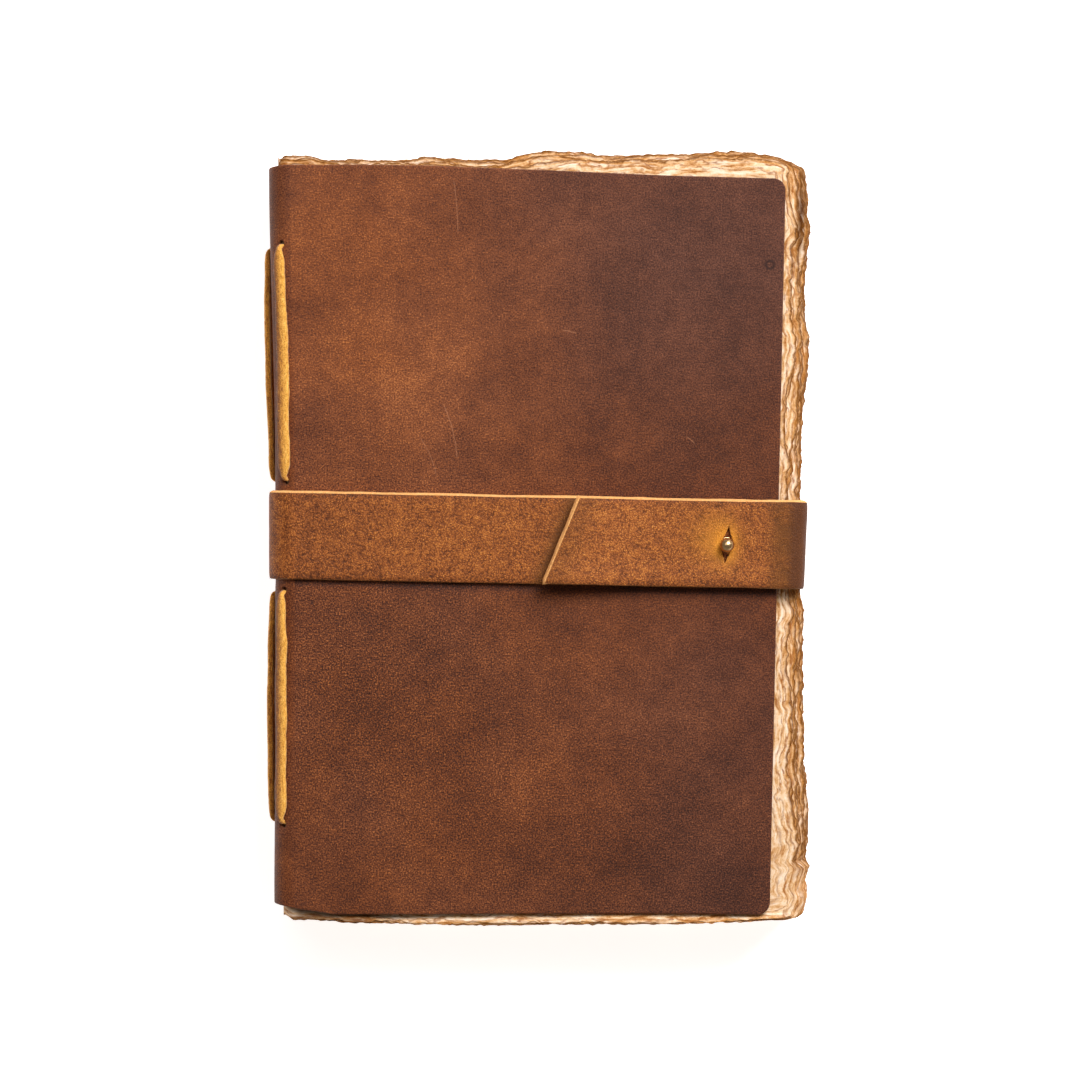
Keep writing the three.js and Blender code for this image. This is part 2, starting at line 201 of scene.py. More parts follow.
def tube(path, side, across, thick, sections=16, squareness=0.75):
    """A closed flat lace: path points, the unit direction of its width, and its width and thickness at each."""
    path = np.asarray(path, float)
    along = np.gradient(path, axis=0)
    along /= np.linalg.norm(along, axis=1, keepdims=True)
    up = np.cross(side, along)
    up /= np.linalg.norm(up, axis=1, keepdims=True)
    angles = np.linspace(0, 2 * math.pi, sections, endpoint=False)
    cosine, sine = np.cos(angles), np.sin(angles)
    flat_u = np.sign(cosine) * np.abs(cosine) ** squareness
    flat_v = np.sign(sine) * np.abs(sine) ** squareness
    rings = (path[:, None]
             + side[:, None] * (across[:, None] * flat_u)[..., None] / 2
             + up[:, None] * (thick[:, None] * flat_v)[..., None] / 2)
    points = rings.reshape(-1, 3)
    faces = []
    count = len(path)
    for i in range(count - 1):
        for j in range(sections):
            k = (j + 1) % sections
            faces.append((i * sections + j, (i + 1) * sections + j, (i + 1) * sections + k, i * sections + k))
    faces.append(tuple(range(sections)))
    faces.append(tuple((count - 1) * sections + j for j in reversed(range(sections))))
    flat = np.stack([np.repeat(np.arange(count), sections), np.tile(angles, count)], axis=1)
    return points, faces, flat


def joined(parts):
    """Several (points, faces) as one."""
    points, faces, start = [], [], 0
    for part_points, part_faces in parts:
        points.append(part_points)
        faces.extend(tuple(start + index for index in face) for face in part_faces)
        start += len(part_points)
    return np.concatenate(points), faces


# ---------------------------------------------------------------- routes and leather

class Route:
    """Straight runs and arcs in the X-Z plane. The leather's grain side is on the right of the way it goes."""

    def __init__(self, x, z, heading):
        self.end = (x, z, math.radians(heading))
        self.parts = []
        self.length = 0.0

    def straight(self, length):
        return self._add(length, 0.0)

    def turn(self, radius, degrees):
        angle = math.radians(degrees)
        return self._add(radius * abs(angle), math.copysign(1 / radius, angle))

    def _add(self, length, curve):
        self.parts.append((self.length, length, curve, self.end))
        self.length += length
        x, z, heading = self.at(np.array([self.length]), 0.0)
        self.end = (float(x[0]), float(z[0]), float(heading[0]))
        return self

    def at(self, s, offset):
        """(x, z, heading) at distance s along the route, offset to its grain side."""
        s = np.asarray(s, float)
        starts = np.array([part[0] for part in self.parts])
        which = np.clip(np.searchsorted(starts, s, side="right") - 1, 0, len(self.parts) - 1)
        curve = np.array([part[2] for part in self.parts])[which]
        x0, z0, angle = (np.array([part[3][i] for part in self.parts])[which] for i in range(3))
        ds = s - starts[which]
        bent = np.abs(curve) > 0
        radius = np.where(bent, 1 / np.where(bent, curve, 1), 0)
        turned = angle + curve * ds
        x = np.where(bent, x0 + radius * (np.sin(turned) - np.sin(angle)), x0 + ds * np.cos(angle))
        z = np.where(bent, z0 - radius * (np.cos(turned) - np.cos(angle)), z0 + ds * np.sin(angle))
        return x + offset * np.sin(turned), z - offset * np.cos(turned), turned


def rim_profile(thick, radius):
    """(outward, height) steps down a rounded edge, from the grain side's border to the flesh side's."""
    turn = [math.radians(a) for a in (30, 60, 90)]
    upper = [(radius * math.sin(a), -radius * (1 - math.cos(a))) for a in turn]
    middle = [(radius * 1.03, -thick * share) for share in (0.42, 0.58)]
    lower = [(out, -thick - height) for out, height in reversed(upper)]
    return upper + middle + lower


def outward_turns(s, v, edges):
    """The direction in the flat, away from the leather, at each point on its borders."""
    out = {}
    for a, b in edges:
        ds, dv = s[b] - s[a], v[b] - v[a]
        length = math.hypot(ds, dv) or 1.0
        for point in (a, b):
            old = out.get(point, (0.0, 0.0))
            out[point] = (old[0] - dv / length, old[1] + ds / length)
    return {point: (ds / (math.hypot(ds, dv) or 1), dv / (math.hypot(ds, dv) or 1))
            for point, (ds, dv) in out.items()}


def leather(s, v, keep, thick, radius, lean=None):
    """Leather laid flat: a grid's outer and inner sides with rounded rims between them.

    s and v place the grid's points and keep says which of its cells hold leather. lean is how far
    a slanted cut carries the inner side out past the outer one. Returns the flat points (s, v,
    height), how far each is into a cut edge, the faces, each face's station and a maker of caps."""
    rows, columns = s.shape
    s_flat, v_flat = s.ravel(), v.ravel()
    lean_flat = np.zeros(rows * columns) if lean is None else lean.ravel()
    count = rows * columns
    i, j = np.nonzero(keep)
    corner = i * columns + j
    quads = np.stack([corner, corner + 1, corner + columns + 1, corner + columns], 1)
    faces = quads.tolist() + (quads[:, ::-1] + count).tolist()
    column_of = i.tolist() * 2
    border = {}
    for quad, column in zip(quads.tolist(), i.tolist()):
        for a, b in zip(quad, quad[1:] + quad[:1]):
            if (b, a) in border:
                del border[(b, a)]
            else:
                border[(a, b)] = column
    out = outward_turns(s_flat, v_flat, list(border))
    profile = rim_profile(thick, radius)
    order = sorted(out)
    index = {point: place for place, point in enumerate(order)}
    away = np.array([out[point] for point in order])
    base = np.stack([s_flat[order], v_flat[order]], 1)
    slant = lean_flat[order][:, None]
    under = np.stack([s_flat, v_flat, np.full(count, -thick)], 1)
    under[order, :2] += away * slant
    points = [np.stack([s_flat, v_flat, np.zeros(count)], 1), under]
    raw = [np.zeros(count), np.zeros(count)]
    cut = np.clip(slant[:, 0] * 4, 0, 1)
    for outward, height in profile:
        spread = base + away * (outward + slant * (-height / thick))
        points.append(np.concatenate([spread, np.full((len(order), 1), height)], 1))
        raw.append(np.maximum(cut, np.clip(-height / thick * 2.5, 0, 1)))
    first_rim = 2 * count
    levels = len(profile)

    def ring(point, level):
        if level == 0:
            return point
        if level == levels + 1:
            return count + point
        return first_rim + (level - 1) * len(order) + index[point]

    for (a, b), column in border.items():
        for level in range(levels + 1):
            faces.append([ring(b, level), ring(a, level), ring(a, level + 1), ring(b, level + 1)])
            column_of.append(column)

    def cap(row):
        left, right = row * columns, row * columns + columns - 1
        loop = [left + j for j in range(columns)]
        loop += [ring(right, level) for level in range(1, levels + 1)]
        loop += [count + right - j for j in range(columns)]
        loop += [ring(left, level) for level in range(levels, 0, -1)]
        return loop

    return np.concatenate(points), np.concatenate(raw), faces, np.array(column_of), cap


def cut_pieces(name, points, faces, column_of, cap, cuts, last, attributes, material):
    """Closed slices of one leather mesh between grid lines, shaded as if they were never cut."""
    normals = vertex_normals(points, faces)
    made = []
    for number, (low, high) in enumerate(zip([0] + cuts, cuts + [last])):
        chosen = [face for face, column in zip(faces, column_of) if low <= column < high]
        if low > 0:
            chosen.append(cap(low)[::-1])
        if high < last:
            chosen.append(cap(high))
        used = np.unique(np.concatenate([np.asarray(face) for face in chosen]))
        place = np.full(len(points), -1)
        place[used] = np.arange(len(used))
        chosen = [place[face].tolist() for face in chosen]
        kept = {key: np.asarray(values)[used] for key, values in attributes.items()}
        piece = mesh_object(f"{name}_{number + 1}", points[used], chosen, material, kept, normals[used])
        made.append(piece)
    return made


def rested(points):
    """The same points, with none of them below the table that the journal lies on."""
    return np.concatenate([points[:, :2], np.maximum(points[:, 2:], 0.0)], 1)


def square_to_round(s, v, centre_s, centre_v, half, reach):
    """Moves grid points so that the square of that half side round the centre becomes a circle."""
    ds, dv = s - centre_s, v - centre_v
    ring = np.maximum(np.abs(ds), np.abs(dv))
    length = np.maximum(np.hypot(ds, dv), 1e-9)
    share = smooth((reach - ring) / (reach - half)) * (ring < reach)
    factor = 1 + share * (ring / length - 1)
    return centre_s + ds * factor, centre_v + dv * factor


# ---------------------------------------------------------------- shaders

class Shader:
    """A node material. Sockets are given as values or as other nodes' outputs."""

    def __init__(self, name):
        self.material = bpy.data.materials.new(name)
        self.material.use_nodes = True
        self.tree = self.material.node_tree
        self.tree.nodes.clear()
        self.surface = self.add("ShaderNodeBsdfPrincipled")
        output = self.tree.nodes.new("ShaderNodeOutputMaterial")
        self.tree.links.new(self.surface.outputs[0], output.inputs["Surface"])

    def add(self, kind, inputs=None, **settings):
        node = self.tree.nodes.new(kind)
        for key, value in settings.items():
            setattr(node, key, value)
        self.set(node, inputs or {})
        return node

    def set(self, node, inputs):
        for key, value in inputs.items():
            socket = node.inputs[key]
            if isinstance(value, bpy.types.NodeSocket):
                self.tree.links.new(value, socket)
            else:
                socket.default_value = value

    def attribute(self, name, output="Fac"):
        return self.add("ShaderNodeAttribute", attribute_name=name).outputs[output]

    def math(self, operation, *values, clamp=False):
        node = self.add("ShaderNodeMath", operation=operation, use_clamp=clamp)
        self.set(node, dict(enumerate(values)))
        return node.outputs[0]

    def scaled(self, vector, factors):
        node = self.add("ShaderNodeVectorMath", {0: vector, 1: factors}, operation="MULTIPLY")
        return node.outputs[0]

    def noise(self, vector, scale, detail=4.0, rough=0.55, warp=0.0):
        node = self.add("ShaderNodeTexNoise", {
            "Vector": vector, "Scale": scale, "Detail": detail, "Roughness": rough, "Distortion": warp})
        return node.outputs["Fac"]

    def cells(self, vector, scale, feature="F1", output="Distance"):
        node = self.add("ShaderNodeTexVoronoi", {"Vector": vector, "Scale": scale}, feature=feature)
        return node.outputs[output]

    def ramp(self, value, stops, ease="LINEAR"):
        """A colour ramp through (place, colour) stops, or a curve through (place, number) ones."""
        node = self.add("ShaderNodeValToRGB", {0: value})
        node.color_ramp.interpolation = ease
        elements = node.color_ramp.elements
        while len(elements) < len(stops):
            elements.new(0.5)
        for element, (place, colour) in zip(elements, stops):
            element.position = place
            element.color = (colour, colour, colour, 1) if isinstance(colour, float) else (*linear(colour), 1)
        return node.outputs[0]

    def range(self, value, low, high, to_low=0.0, to_high=1.0):
        node = self.add("ShaderNodeMapRange", {
            0: value, 1: low, 2: high, 3: to_low, 4: to_high}, interpolation_type="SMOOTHSTEP")
        return node.outputs[0]

    def mix(self, share, a, b, blend="MIX"):
        node = self.add("ShaderNodeMix", data_type="RGBA", blend_type=blend)
        colour = [self.tree_colour(a), self.tree_colour(b)]
        self.set(node, {0: share, 6: colour[0], 7: colour[1]})
        return node.outputs[2]

    @staticmethod
    def tree_colour(value):
        return (*linear(value), 1) if isinstance(value, tuple) else value

    def bump(self, height, strength, distance, under=None):
        inputs = {"Height": height, "Strength": strength, "Distance": distance * MM}
        if under is not None:
            inputs["Normal"] = under
        return self.add("ShaderNodeBump", inputs).outputs[0]

    def finish(self, **sockets):
        names = {"colour": "Base Color", "rough": "Roughness", "normal": "Normal", "metal": "Metallic",
                 "gloss": "Specular IOR Level", "sheen": "Sheen Weight"}
        self.set(self.surface, {names[key]: self.tree_colour(value) for key, value in sockets.items()})
        return self.material


def linear(colour):
    """A colour given as 0-255 numbers, as the scene-linear numbers that shaders take."""
    scaled = [channel / 255 for channel in colour]
    return tuple(c / 12.92 if c <= 0.04045 else ((c + 0.055) / 1.055) ** 2.4 for c in scaled)


def scratch(shader, flat, start, end, width, bow=0.0):
    """1 on a thin bowed line between two flat places, fading off it: a scratch in the grain."""
    (s0, v0), (s1, v1) = start, end
    length = math.hypot(s1 - s0, v1 - v0)
    us, uv = (s1 - s0) / length, (v1 - v0) / length
    split = shader.add("ShaderNodeSeparateXYZ", {0: flat})
    ds = shader.math("SUBTRACT", split.outputs[0], s0)
    dv = shader.math("SUBTRACT", split.outputs[1], v0)
    along = shader.math("ADD", shader.math("MULTIPLY", ds, us), shader.math("MULTIPLY", dv, uv))
    across = shader.math("SUBTRACT", shader.math("MULTIPLY", ds, uv), shader.math("MULTIPLY", dv, us))
    share = shader.math("DIVIDE", along, length)
    arch = shader.math("MULTIPLY", share, shader.math("SUBTRACT", 1.0, share))
    across = shader.math("SUBTRACT", across, shader.math("MULTIPLY", arch, 4.0 * bow))
    wander = shader.math("SUBTRACT", shader.noise(flat, 0.9, 2.0), 0.5)
    across = shader.math("ABSOLUTE", shader.math("ADD", across, shader.math("MULTIPLY", wander, width * 2.5)))
    line = shader.range(across, 0.0, width, 1.0, 0.0)
    inside = shader.math("MULTIPLY", shader.range(share, 0.0, 0.12), shader.range(share, 0.88, 1.0, 1.0, 0.0))
    return shader.math("MULTIPLY", line, inside)


def spot(shader, flat, centre, radius, width):
    """1 on a small ring round a flat place (or on a dot, if its radius is 0), fading off it."""
    aside = shader.add("ShaderNodeVectorMath", {0: flat, 1: (*centre, 0)}, operation="SUBTRACT").outputs[0]
    aside = shader.scaled(aside, (1, 1, 0))
    length = shader.add("ShaderNodeVectorMath", {0: aside}, operation="LENGTH").outputs["Value"]
    return shader.range(shader.math("ABSOLUTE", shader.math("SUBTRACT", length, radius)), 0.0, width, 1.0, 0.0)


# ---------------------------------------------------------------- materials

def cover_leather():
    """Waxed chestnut leather: dark speckle in the pores, rubbed warm patches, a few scratches."""
    shader = Shader("cover_leather")
    flat = shader.attribute("flat", "Vector")
    tone = shader.attribute("tone")
    cool = shader.attribute("cool")
    fleck_depth = shader.attribute("fleck")
    raw = shader.attribute("raw")
    flesh = shader.attribute("flesh")
    patch = shader.noise(flat, 0.045, 5.0, 0.6)
    cloud = shader.noise(flat, 0.22, 6.0, 0.62)
    speckle = shader.noise(flat, 1.9, 3.0, 0.75)
    fleck = shader.noise(flat, 0.95, 2.0, 0.6, 0.6)
    pull = shader.noise(shader.scaled(flat, (0.5, 2.6, 1.0)), 1.0, 4.0, 0.65)
    pores = shader.cells(flat, 1.5)
    level = shader.math("MULTIPLY_ADD", shader.math("SUBTRACT", patch, 0.5), 0.5, tone)
    level = shader.math("MULTIPLY_ADD", shader.math("SUBTRACT", cloud, 0.5), 0.38, level)
    level = shader.math("MULTIPLY_ADD", shader.math("SUBTRACT", pull, 0.5), 0.45, level)
    level = shader.math("MULTIPLY_ADD", shader.math("SUBTRACT", speckle, 0.5), fleck_depth, level)
    warm = shader.ramp(level, [
        (0.0, (36, 14, 6)), (0.3, (74, 34, 15)), (0.55, (107, 55, 26)), (0.8, (142, 77, 37)), (1.0, (188, 114, 58))])
    dusky = shader.ramp(level, [
        (0.0, (36, 18, 14)), (0.3, (73, 41, 31)), (0.55, (100, 60, 46)), (0.8, (127, 82, 63)), (1.0, (164, 114, 88))])
    colour = shader.mix(cool, warm, dusky)
    dots = shader.range(fleck, 0.62, 0.74)
    colour = shader.mix(shader.math("MULTIPLY", dots, 0.55), colour, (62, 36, 30))
    lines = [
        scratch(shader, flat, *line) for line in (
            ((111.5, 45.4), (106.4, 26.0), 0.28, 1.1),
            ((108.2, 118.0), (106.6, 99.0), 0.20, 0.3),
            ((72.2, 69.5), (67.3, 68.6), 0.30, 0.2),
            ((30.8, 35.6), (28.0, 33.4), 0.26, 0.1),
            ((119.0, 34.0), (113.0, 20.0), 0.18, 0.9),
        )
    ]
    marks = lines[0]
    for line in lines[1:]:
        marks = shader.math("MAXIMUM", marks, line)
    colour = shader.mix(shader.math("MULTIPLY", marks, 0.5), colour, (176, 118, 84))
    stains = shader.math("MAXIMUM", spot(shader, flat, (4.6, 93.0), 1.3, 0.8), spot(shader, flat, (154.2, -22.0), 0.0, 0.8))
    colour = shader.mix(shader.math("MULTIPLY", stains, 0.85), colour, (44, 24, 20))
    fibre = shader.noise(shader.scaled(flat, (2.2, 2.2, 5.0)), 1.0, 4.0, 0.7)
    edge = shader.ramp(fibre, [(0.25, (82, 48, 32)), (0.6, (128, 82, 56)), (0.85, (168, 118, 84))])
    inside = shader.ramp(shader.noise(flat, 0.8, 6.0, 0.7), [
        (0.25, (92, 58, 38)), (0.55, (132, 88, 58)), (0.8, (160, 114, 78))])
    colour = shader.mix(flesh, colour, inside)
    colour = shader.mix(raw, colour, edge)
    grain = shader.bump(shader.math("SUBTRACT", 1.0, pores), 0.35, 0.12)
    grain = shader.bump(speckle, 0.5, 0.10, grain)
    grain = shader.bump(cloud, 0.5, 0.35, grain)
    normal = shader.bump(shader.noise(flat, 2.6, 5.0, 0.8), 0.8, 0.2, grain)
    rough = shader.math("MULTIPLY_ADD", speckle, 0.3, shader.math("MULTIPLY_ADD", raw, 0.2, 0.42))
    return shader.finish(colour=colour, rough=rough, normal=normal, gloss=0.2)


def strap_leather():
    """Golden tan leather, pebbled, with pale fibrous cut edges, gold rubbed bright round the stud, and painted shade
    along its borders, over its bend and beside the flap's tip.
    """
    shader = Shader("strap_leather")
    flat = shader.attribute("flat", "Vector")
    tone = shader.attribute("tone")
    halo = shader.attribute("halo")
    shade_and_smudge = shader.attribute("shade_and_smudge")
    turned = shader.attribute("turned")
    raw = shader.attribute("raw")
    flesh = shader.attribute("flesh")
    cloud = shader.noise(flat, 0.3, 5.0, 0.6)
    speckle = shader.noise(flat, 2.9, 3.0, 0.7)
    pebble = shader.cells(flat, 1.6)
    level = shader.math("MULTIPLY_ADD", shader.math("SUBTRACT", cloud, 0.5), 0.6, tone)
    level = shader.math("MULTIPLY_ADD", shader.math("SUBTRACT", speckle, 0.5), 1.9, level)
    level = shader.math("MULTIPLY_ADD", shader.math("SUBTRACT", 0.45, pebble), 0.5, level)
    colour = shader.ramp(level, [
        (0.0, (56, 26, 9)), (0.28, (100, 51, 20)), (0.5, (144, 78, 33)), (0.74, (188, 112, 46)), (1.0, (236, 168, 84))])
    grey = shader.range(shader.noise(flat, 1.15, 2.0, 0.6, 0.5), 0.56, 0.7)
    colour = shader.mix(shader.math("MULTIPLY", grey, 0.22), colour, (106, 68, 50))
    # The olive mix is painted shade over the strap's bend at the fore edge and beside the flap's tip, and the flap's
    # own darkening toward its tip.
    olive = shader.ramp(speckle, [(0.3, (62, 34, 10)), (0.6, (112, 66, 24)), (0.75, (150, 96, 40))])
    colour = shader.mix(shade_and_smudge, colour, olive)
    # Painted shade: the deep brown laid by turned on the strap's bend over the fore edge's top corner.
    hide = shader.ramp(speckle, [(0.3, (56, 29, 13)), (0.5, (82, 44, 21)), (0.7, (106, 61, 32))])
    colour = shader.mix(turned, colour, hide)
    gold = shader.ramp(speckle, [(0.25, (154, 86, 22)), (0.55, (218, 140, 42)), (0.8, (252, 196, 88))])
    colour = shader.mix(halo, colour, gold)
    streak = shader.noise(shader.scaled(flat, (1.6, 1.6, 3.0)), 1.0, 5.0, 0.7)
    edge = shader.ramp(streak, [(0.2, (192, 122, 64)), (0.5, (238, 172, 104)), (0.8, (255, 214, 152))])
    inside = shader.ramp(shader.noise(flat, 0.9, 6.0, 0.7), [
        (0.25, (142, 92, 54)), (0.55, (184, 128, 80)), (0.8, (212, 162, 112))])
    colour = shader.mix(flesh, colour, inside)
    colour = shader.mix(raw, colour, edge)
    grain = shader.bump(shader.math("SUBTRACT", 1.0, pebble), 0.6, 0.22)
    grain = shader.bump(speckle, 0.6, 0.14, grain)
    grain = shader.bump(cloud, 0.4, 0.3, grain)
    rough = shader.math("MULTIPLY_ADD", speckle, 0.3, shader.math("MULTIPLY_ADD", raw, 0.3, 0.45))
    return shader.finish(colour=colour, rough=rough, normal=grain, gloss=0.2)


def lace_leather():
    """Golden-yellow lace with a fibrous surface, darker in painted shade on the sides that face away from the light."""
    shader = Shader("lace_leather")
    flat = shader.attribute("flat", "Vector")
    side = shader.attribute("side")
    long_grain = shader.noise(shader.scaled(flat, (1.5, 0.5, 1.5)), 1.0, 5.0, 0.7)
    fibre = shader.noise(flat, 2.4, 4.0, 0.75)
    level = shader.math("MULTIPLY_ADD", shader.math("SUBTRACT", long_grain, 0.5), 0.9, 0.66)
    level = shader.math("MULTIPLY_ADD", shader.math("SUBTRACT", fibre, 0.5), 1.3, level)
    # The side attribute darkens the lace: painted shade on its sides that face away from the light.
    level = shader.math("MULTIPLY_ADD", side, -0.6, level)
    colour = shader.ramp(level, [
        (0.0, (92, 46, 14)), (0.3, (150, 88, 30)), (0.55, (214, 144, 50)), (0.8, (248, 188, 86)), (1.0, (255, 216, 134))])
    grain = shader.bump(fibre, 0.7, 0.25)
    grain = shader.bump(long_grain, 0.6, 0.3, grain)
    return shader.finish(colour=colour, rough=0.72, normal=grain, gloss=0.25, sheen=0.25)


def paper():
    """Tea-stained handmade paper: cream, lined with orange-brown where the torn edge drank the stain."""
    shader = Shader("paper")
    flat = shader.attribute("flat", "Vector")
    edge = shader.attribute("edge")
    leaf = shader.attribute("leaf")
    rim = shader.attribute("rim")
    dark = shader.attribute("dark")
    fore = shader.attribute("fore")
    cloud = shader.noise(flat, 0.10, 4.0, 0.6)
    stain = shader.noise(flat, 0.12, 2.0, 0.5, 0.4)
    crease = shader.noise(flat, 0.42, 4.0, 0.6, 0.8)
    fibre = shader.noise(flat, 1.7, 4.0, 0.7)
    beside_fore = shader.noise(shader.scaled(flat, (0.85, 0.12, 1.0)), 1.0, 4.0, 0.62)
    beside_head = shader.noise(shader.scaled(flat, (0.12, 0.85, 1.0)), 1.0, 4.0, 0.62)
    streak = shader.math("MULTIPLY_ADD", shader.math("SUBTRACT", beside_fore, beside_head), fore, beside_head)
    streak = shader.math("SUBTRACT", streak, 0.5)
    near = shader.range(edge, 2.0, 16.0, 2.1, 0.3)
    level = shader.math("MULTIPLY_ADD", shader.math("SUBTRACT", cloud, 0.5), 0.8, 0.60)
    level = shader.math("MULTIPLY_ADD", shader.math("SUBTRACT", crease, 0.5), 0.6, level)
    level = shader.math("MULTIPLY_ADD", shader.math("SUBTRACT", fibre, 0.5), 0.5, level)
    level = shader.math("MULTIPLY_ADD", streak, near, level)
    level = shader.math("MULTIPLY_ADD", leaf, 0.12, level)
    colour = shader.ramp(level, [
        (0.0, (104, 56, 24)), (0.3, (172, 112, 60)), (0.52, (212, 162, 110)), (0.72, (236, 200, 160)),
        (1.0, (248, 226, 202))])
    reach = shader.math("MULTIPLY_ADD", shader.math("SUBTRACT", stain, 0.5), 7.0, edge)
    reach = shader.math("MULTIPLY_ADD", streak, 4.0, reach)
    lines = None
    for distance, width, strength in ((1.5, 0.7, 0.9), (3.6, 0.5, 0.8), (6.3, 0.8, 0.6)):
        away = shader.math("ABSOLUTE", shader.math("SUBTRACT", reach, distance))
        line = shader.range(away, 0.0, width, strength, 0.0)
        lines = line if lines is None else shader.math("MAXIMUM", lines, line)
    lines = shader.math("MULTIPLY", lines, shader.range(crease, 0.36, 0.6, 0.3, 1.0))
    colour = shader.mix(lines, colour, (146, 84, 36))
    torn = shader.math("MULTIPLY_ADD", shader.math("SUBTRACT", crease, 0.5), 1.6, edge)
    gold = shader.range(torn, 0.2, 1.6, 0.5, 0.0)
    colour = shader.mix(gold, colour, (204, 138, 64))
    brown = shader.math("MULTIPLY", shader.range(torn, -0.1, 0.9, 1.0, 0.0), 0.9)
    colour = shader.mix(brown, colour, (92, 50, 22))
    bright = shader.ramp(shader.noise(flat, 0.55, 4.0, 0.7), [
        (0.3, (92, 50, 20)), (0.47, (160, 100, 46)), (0.6, (212, 158, 94)), (0.75, (238, 202, 150))])
    colour = shader.mix(rim, colour, bright)
    # dark is painted shade down a crevice near the head of the fore edge, and partly stain, partly painted shade at the
    # tail's left corner.
    colour = shader.mix(dark, colour, (70, 34, 11))
    grain = shader.bump(fibre, 0.5, 0.12)
    grain = shader.bump(crease, 0.3, 0.3, grain)
    return shader.finish(colour=colour, rough=0.95, normal=grain, gloss=0.0)


def brass():
    """Antique brass, pale and darker in worn patches, and dull in its small dents."""
    shader = Shader("brass")
    place = shader.add("ShaderNodeTexCoord").outputs["Object"]
    fine = shader.noise(place, 900.0, 4.0, 0.6)
    wear = shader.noise(place, 260.0, 3.0, 0.6)
    colour = shader.ramp(wear, [(0.3, (150, 112, 74)), (0.55, (202, 166, 120)), (0.8, (234, 208, 168))])
    rough = shader.math("MULTIPLY_ADD", fine, 0.22, 0.2)
    dents = shader.bump(fine, 0.25, 0.05)
    return shader.finish(colour=colour, rough=rough, normal=dents, metal=1.0)


COVER = cover_leather()
STRAP = strap_leather()
LACE = lace_leather()
PAPER = paper()
BRASS = brass()

# ---------------------------------------------------------------- cover

RIM = 0.45
FRONT_SKEW = 0.022
FRONT_LIFT = -0.9
HALF_HEIGHT = (BACK_HIGH[1] - BACK_LOW[1]) / 2 - RIM
HINGE_S = BACK_HIGH[0] - CENTRE_X
CORNER = 3.5
HOLE_HALF = 1.3 + RIM * 0.5
CUT_BEFORE = 2.4
SLOT_NEAR, SLOT_FAR, SLOT_HALF = 16.6, 25.4, 15.0
STRAP_Y, STRAP_SKEW = -0.6, 0.0194

cover_route = Route(BACK_HIGH[0], FRONT_HIGH[2], 180)
cover_route.straight(HINGE_S).turn(SPINE_R, 90).straight(SPINE_FLAT).turn(SPINE_R, 90).straight(HINGE_S)


def curve(places, at):
    """Straight steps through (place, value) pairs."""
    return np.interp(at, [place for place, _ in places], [value for _, value in places])


# How much longer than its drawing the front cover was cut, at its head and at its tail, along X
HEAD_CUT = [(-89, -0.2), (-87, 0.7), (-83, 1.3), (-49, 1.8), (-31, 1.7), (0, 1.3), (42, 0.4), (79, 0.2)]
TAIL_CUT = [(-89, -0.4), (-85, 0.6), (-79, 1.8), (-67, 3.3), (-49, 2.9), (0, 1.8), (42, 0.9), (79, 0.1)]


def bulge(x, v):
    """How far the spine swells out of true: most at its head, not at all under the strap."""
    swell = 2.2 * smooth((v - 20) / 110) + 0.35 * smooth((-v - 60) / 60)
    return swell * smooth((-66 - x) / 19)


def lay_cover(flat):
    """The front cover sits a little askew on the book, and the spine eases that out."""
    s, v, height = flat.T
    x, z, _ = cover_route.at(s, height)
    front = np.clip((HINGE_S - s) / HINGE_S, 0, 1)
    fade = np.clip((s - HINGE_S) / GIRTH, 0, 1)
    lift = (FRONT_LIFT - FRONT_SKEW * (CENTRE_X + front * HINGE_S)) * (1 - fade)
    cut = np.where(v > 0, curve(HEAD_CUT, x), -curve(TAIL_CUT, x)) * smooth(1 - (s - HINGE_S - QUARTER) / 15)
    longer = cut * smooth((np.abs(v) - 30) / 90)
    return np.stack([x + FRONT_SKEW * v * front - bulge(x, v), v + lift + longer, z], 1)


def lace_s(number, v):
    """Where a lace and its holes come on the route. The first is a little nearer the front."""
    back = FIRST_HOLE_BACK["head" if v > 0 else "tail"] if number == 1 else 0.0
    return HINGE_S + SECTION * (number - 0.5) - back


def round_corner(s, v, corner_s, corner_v, way_s, way_v, radius):
    """Bends the grid's square corner into a quarter circle."""
    centre_s, centre_v = corner_s - way_s * radius, corner_v - way_v * radius
    ds, dv = s - centre_s, v - centre_v
    inside = (ds * way_s > 0) & (dv * way_v > 0)
    ring = np.maximum(np.abs(ds), np.abs(dv))
    factor = np.where(inside, ring / np.maximum(np.hypot(ds, dv), 1e-9), 1.0)
    return centre_s + ds * factor, centre_v + dv * factor


def cover_tone(s, v):
    """How light and how cool the cover's colour is: lighter at the spine, cooler toward the fore edge's head, with a
    painted shadow along the strap's tail edge.
    """
    front = s < HINGE_S
    x = np.where(front, BACK_HIGH[0] - s, s - HINGE_S - GIRTH + CENTRE_X)
    tone = 0.50 + 0.09 * bump_at(x, v, -75, 60, 60, 90) - 0.10 * smooth((x + 20) / 90) * (v < 400)
    tone = tone + 0.15 * bump_at(x, v, -42, 62, 26, 24) + 0.06 * bump_at(x, v, -60, 95, 45, 22)
    tone = tone - 0.11 * bump_at(x, v, -58, -38, 34, 36) - 0.04 * bump_at(x, v, 50, -105, 40, 30)
    tone = tone + 0.05 * bump_at(x, v, 56, -40, 36, 30) + 0.04 * bump_at(x, v, 58, 38, 30, 24)
    # The last term is a painted shadow: a dark line on the front cover just below the strap's tail edge.
    tone = tone + 0.06 * layered(x / 38, v / 38, 0.0, 71, 3) - 0.24 * front * np.exp(-((v + 15.3) / 1.4) ** 2)
    cool = 0.06 + 0.8 * smooth((x + 40) / 90) * smooth((v - 15) / 80) + 0.2 * layered(x / 30, v / 30, 0.0, 83, 3)
    cool = cool + 0.35 * smooth((x - 0) / 60) * smooth((-v - 10) / 40)
    fleck = 1.9 + 1.5 * bump_at(x, v, -62, -45, 60, 70) + 0.9 * bump_at(x, v, 30, -100, 70, 50)
    return tone, np.clip(cool, 0, 1), fleck


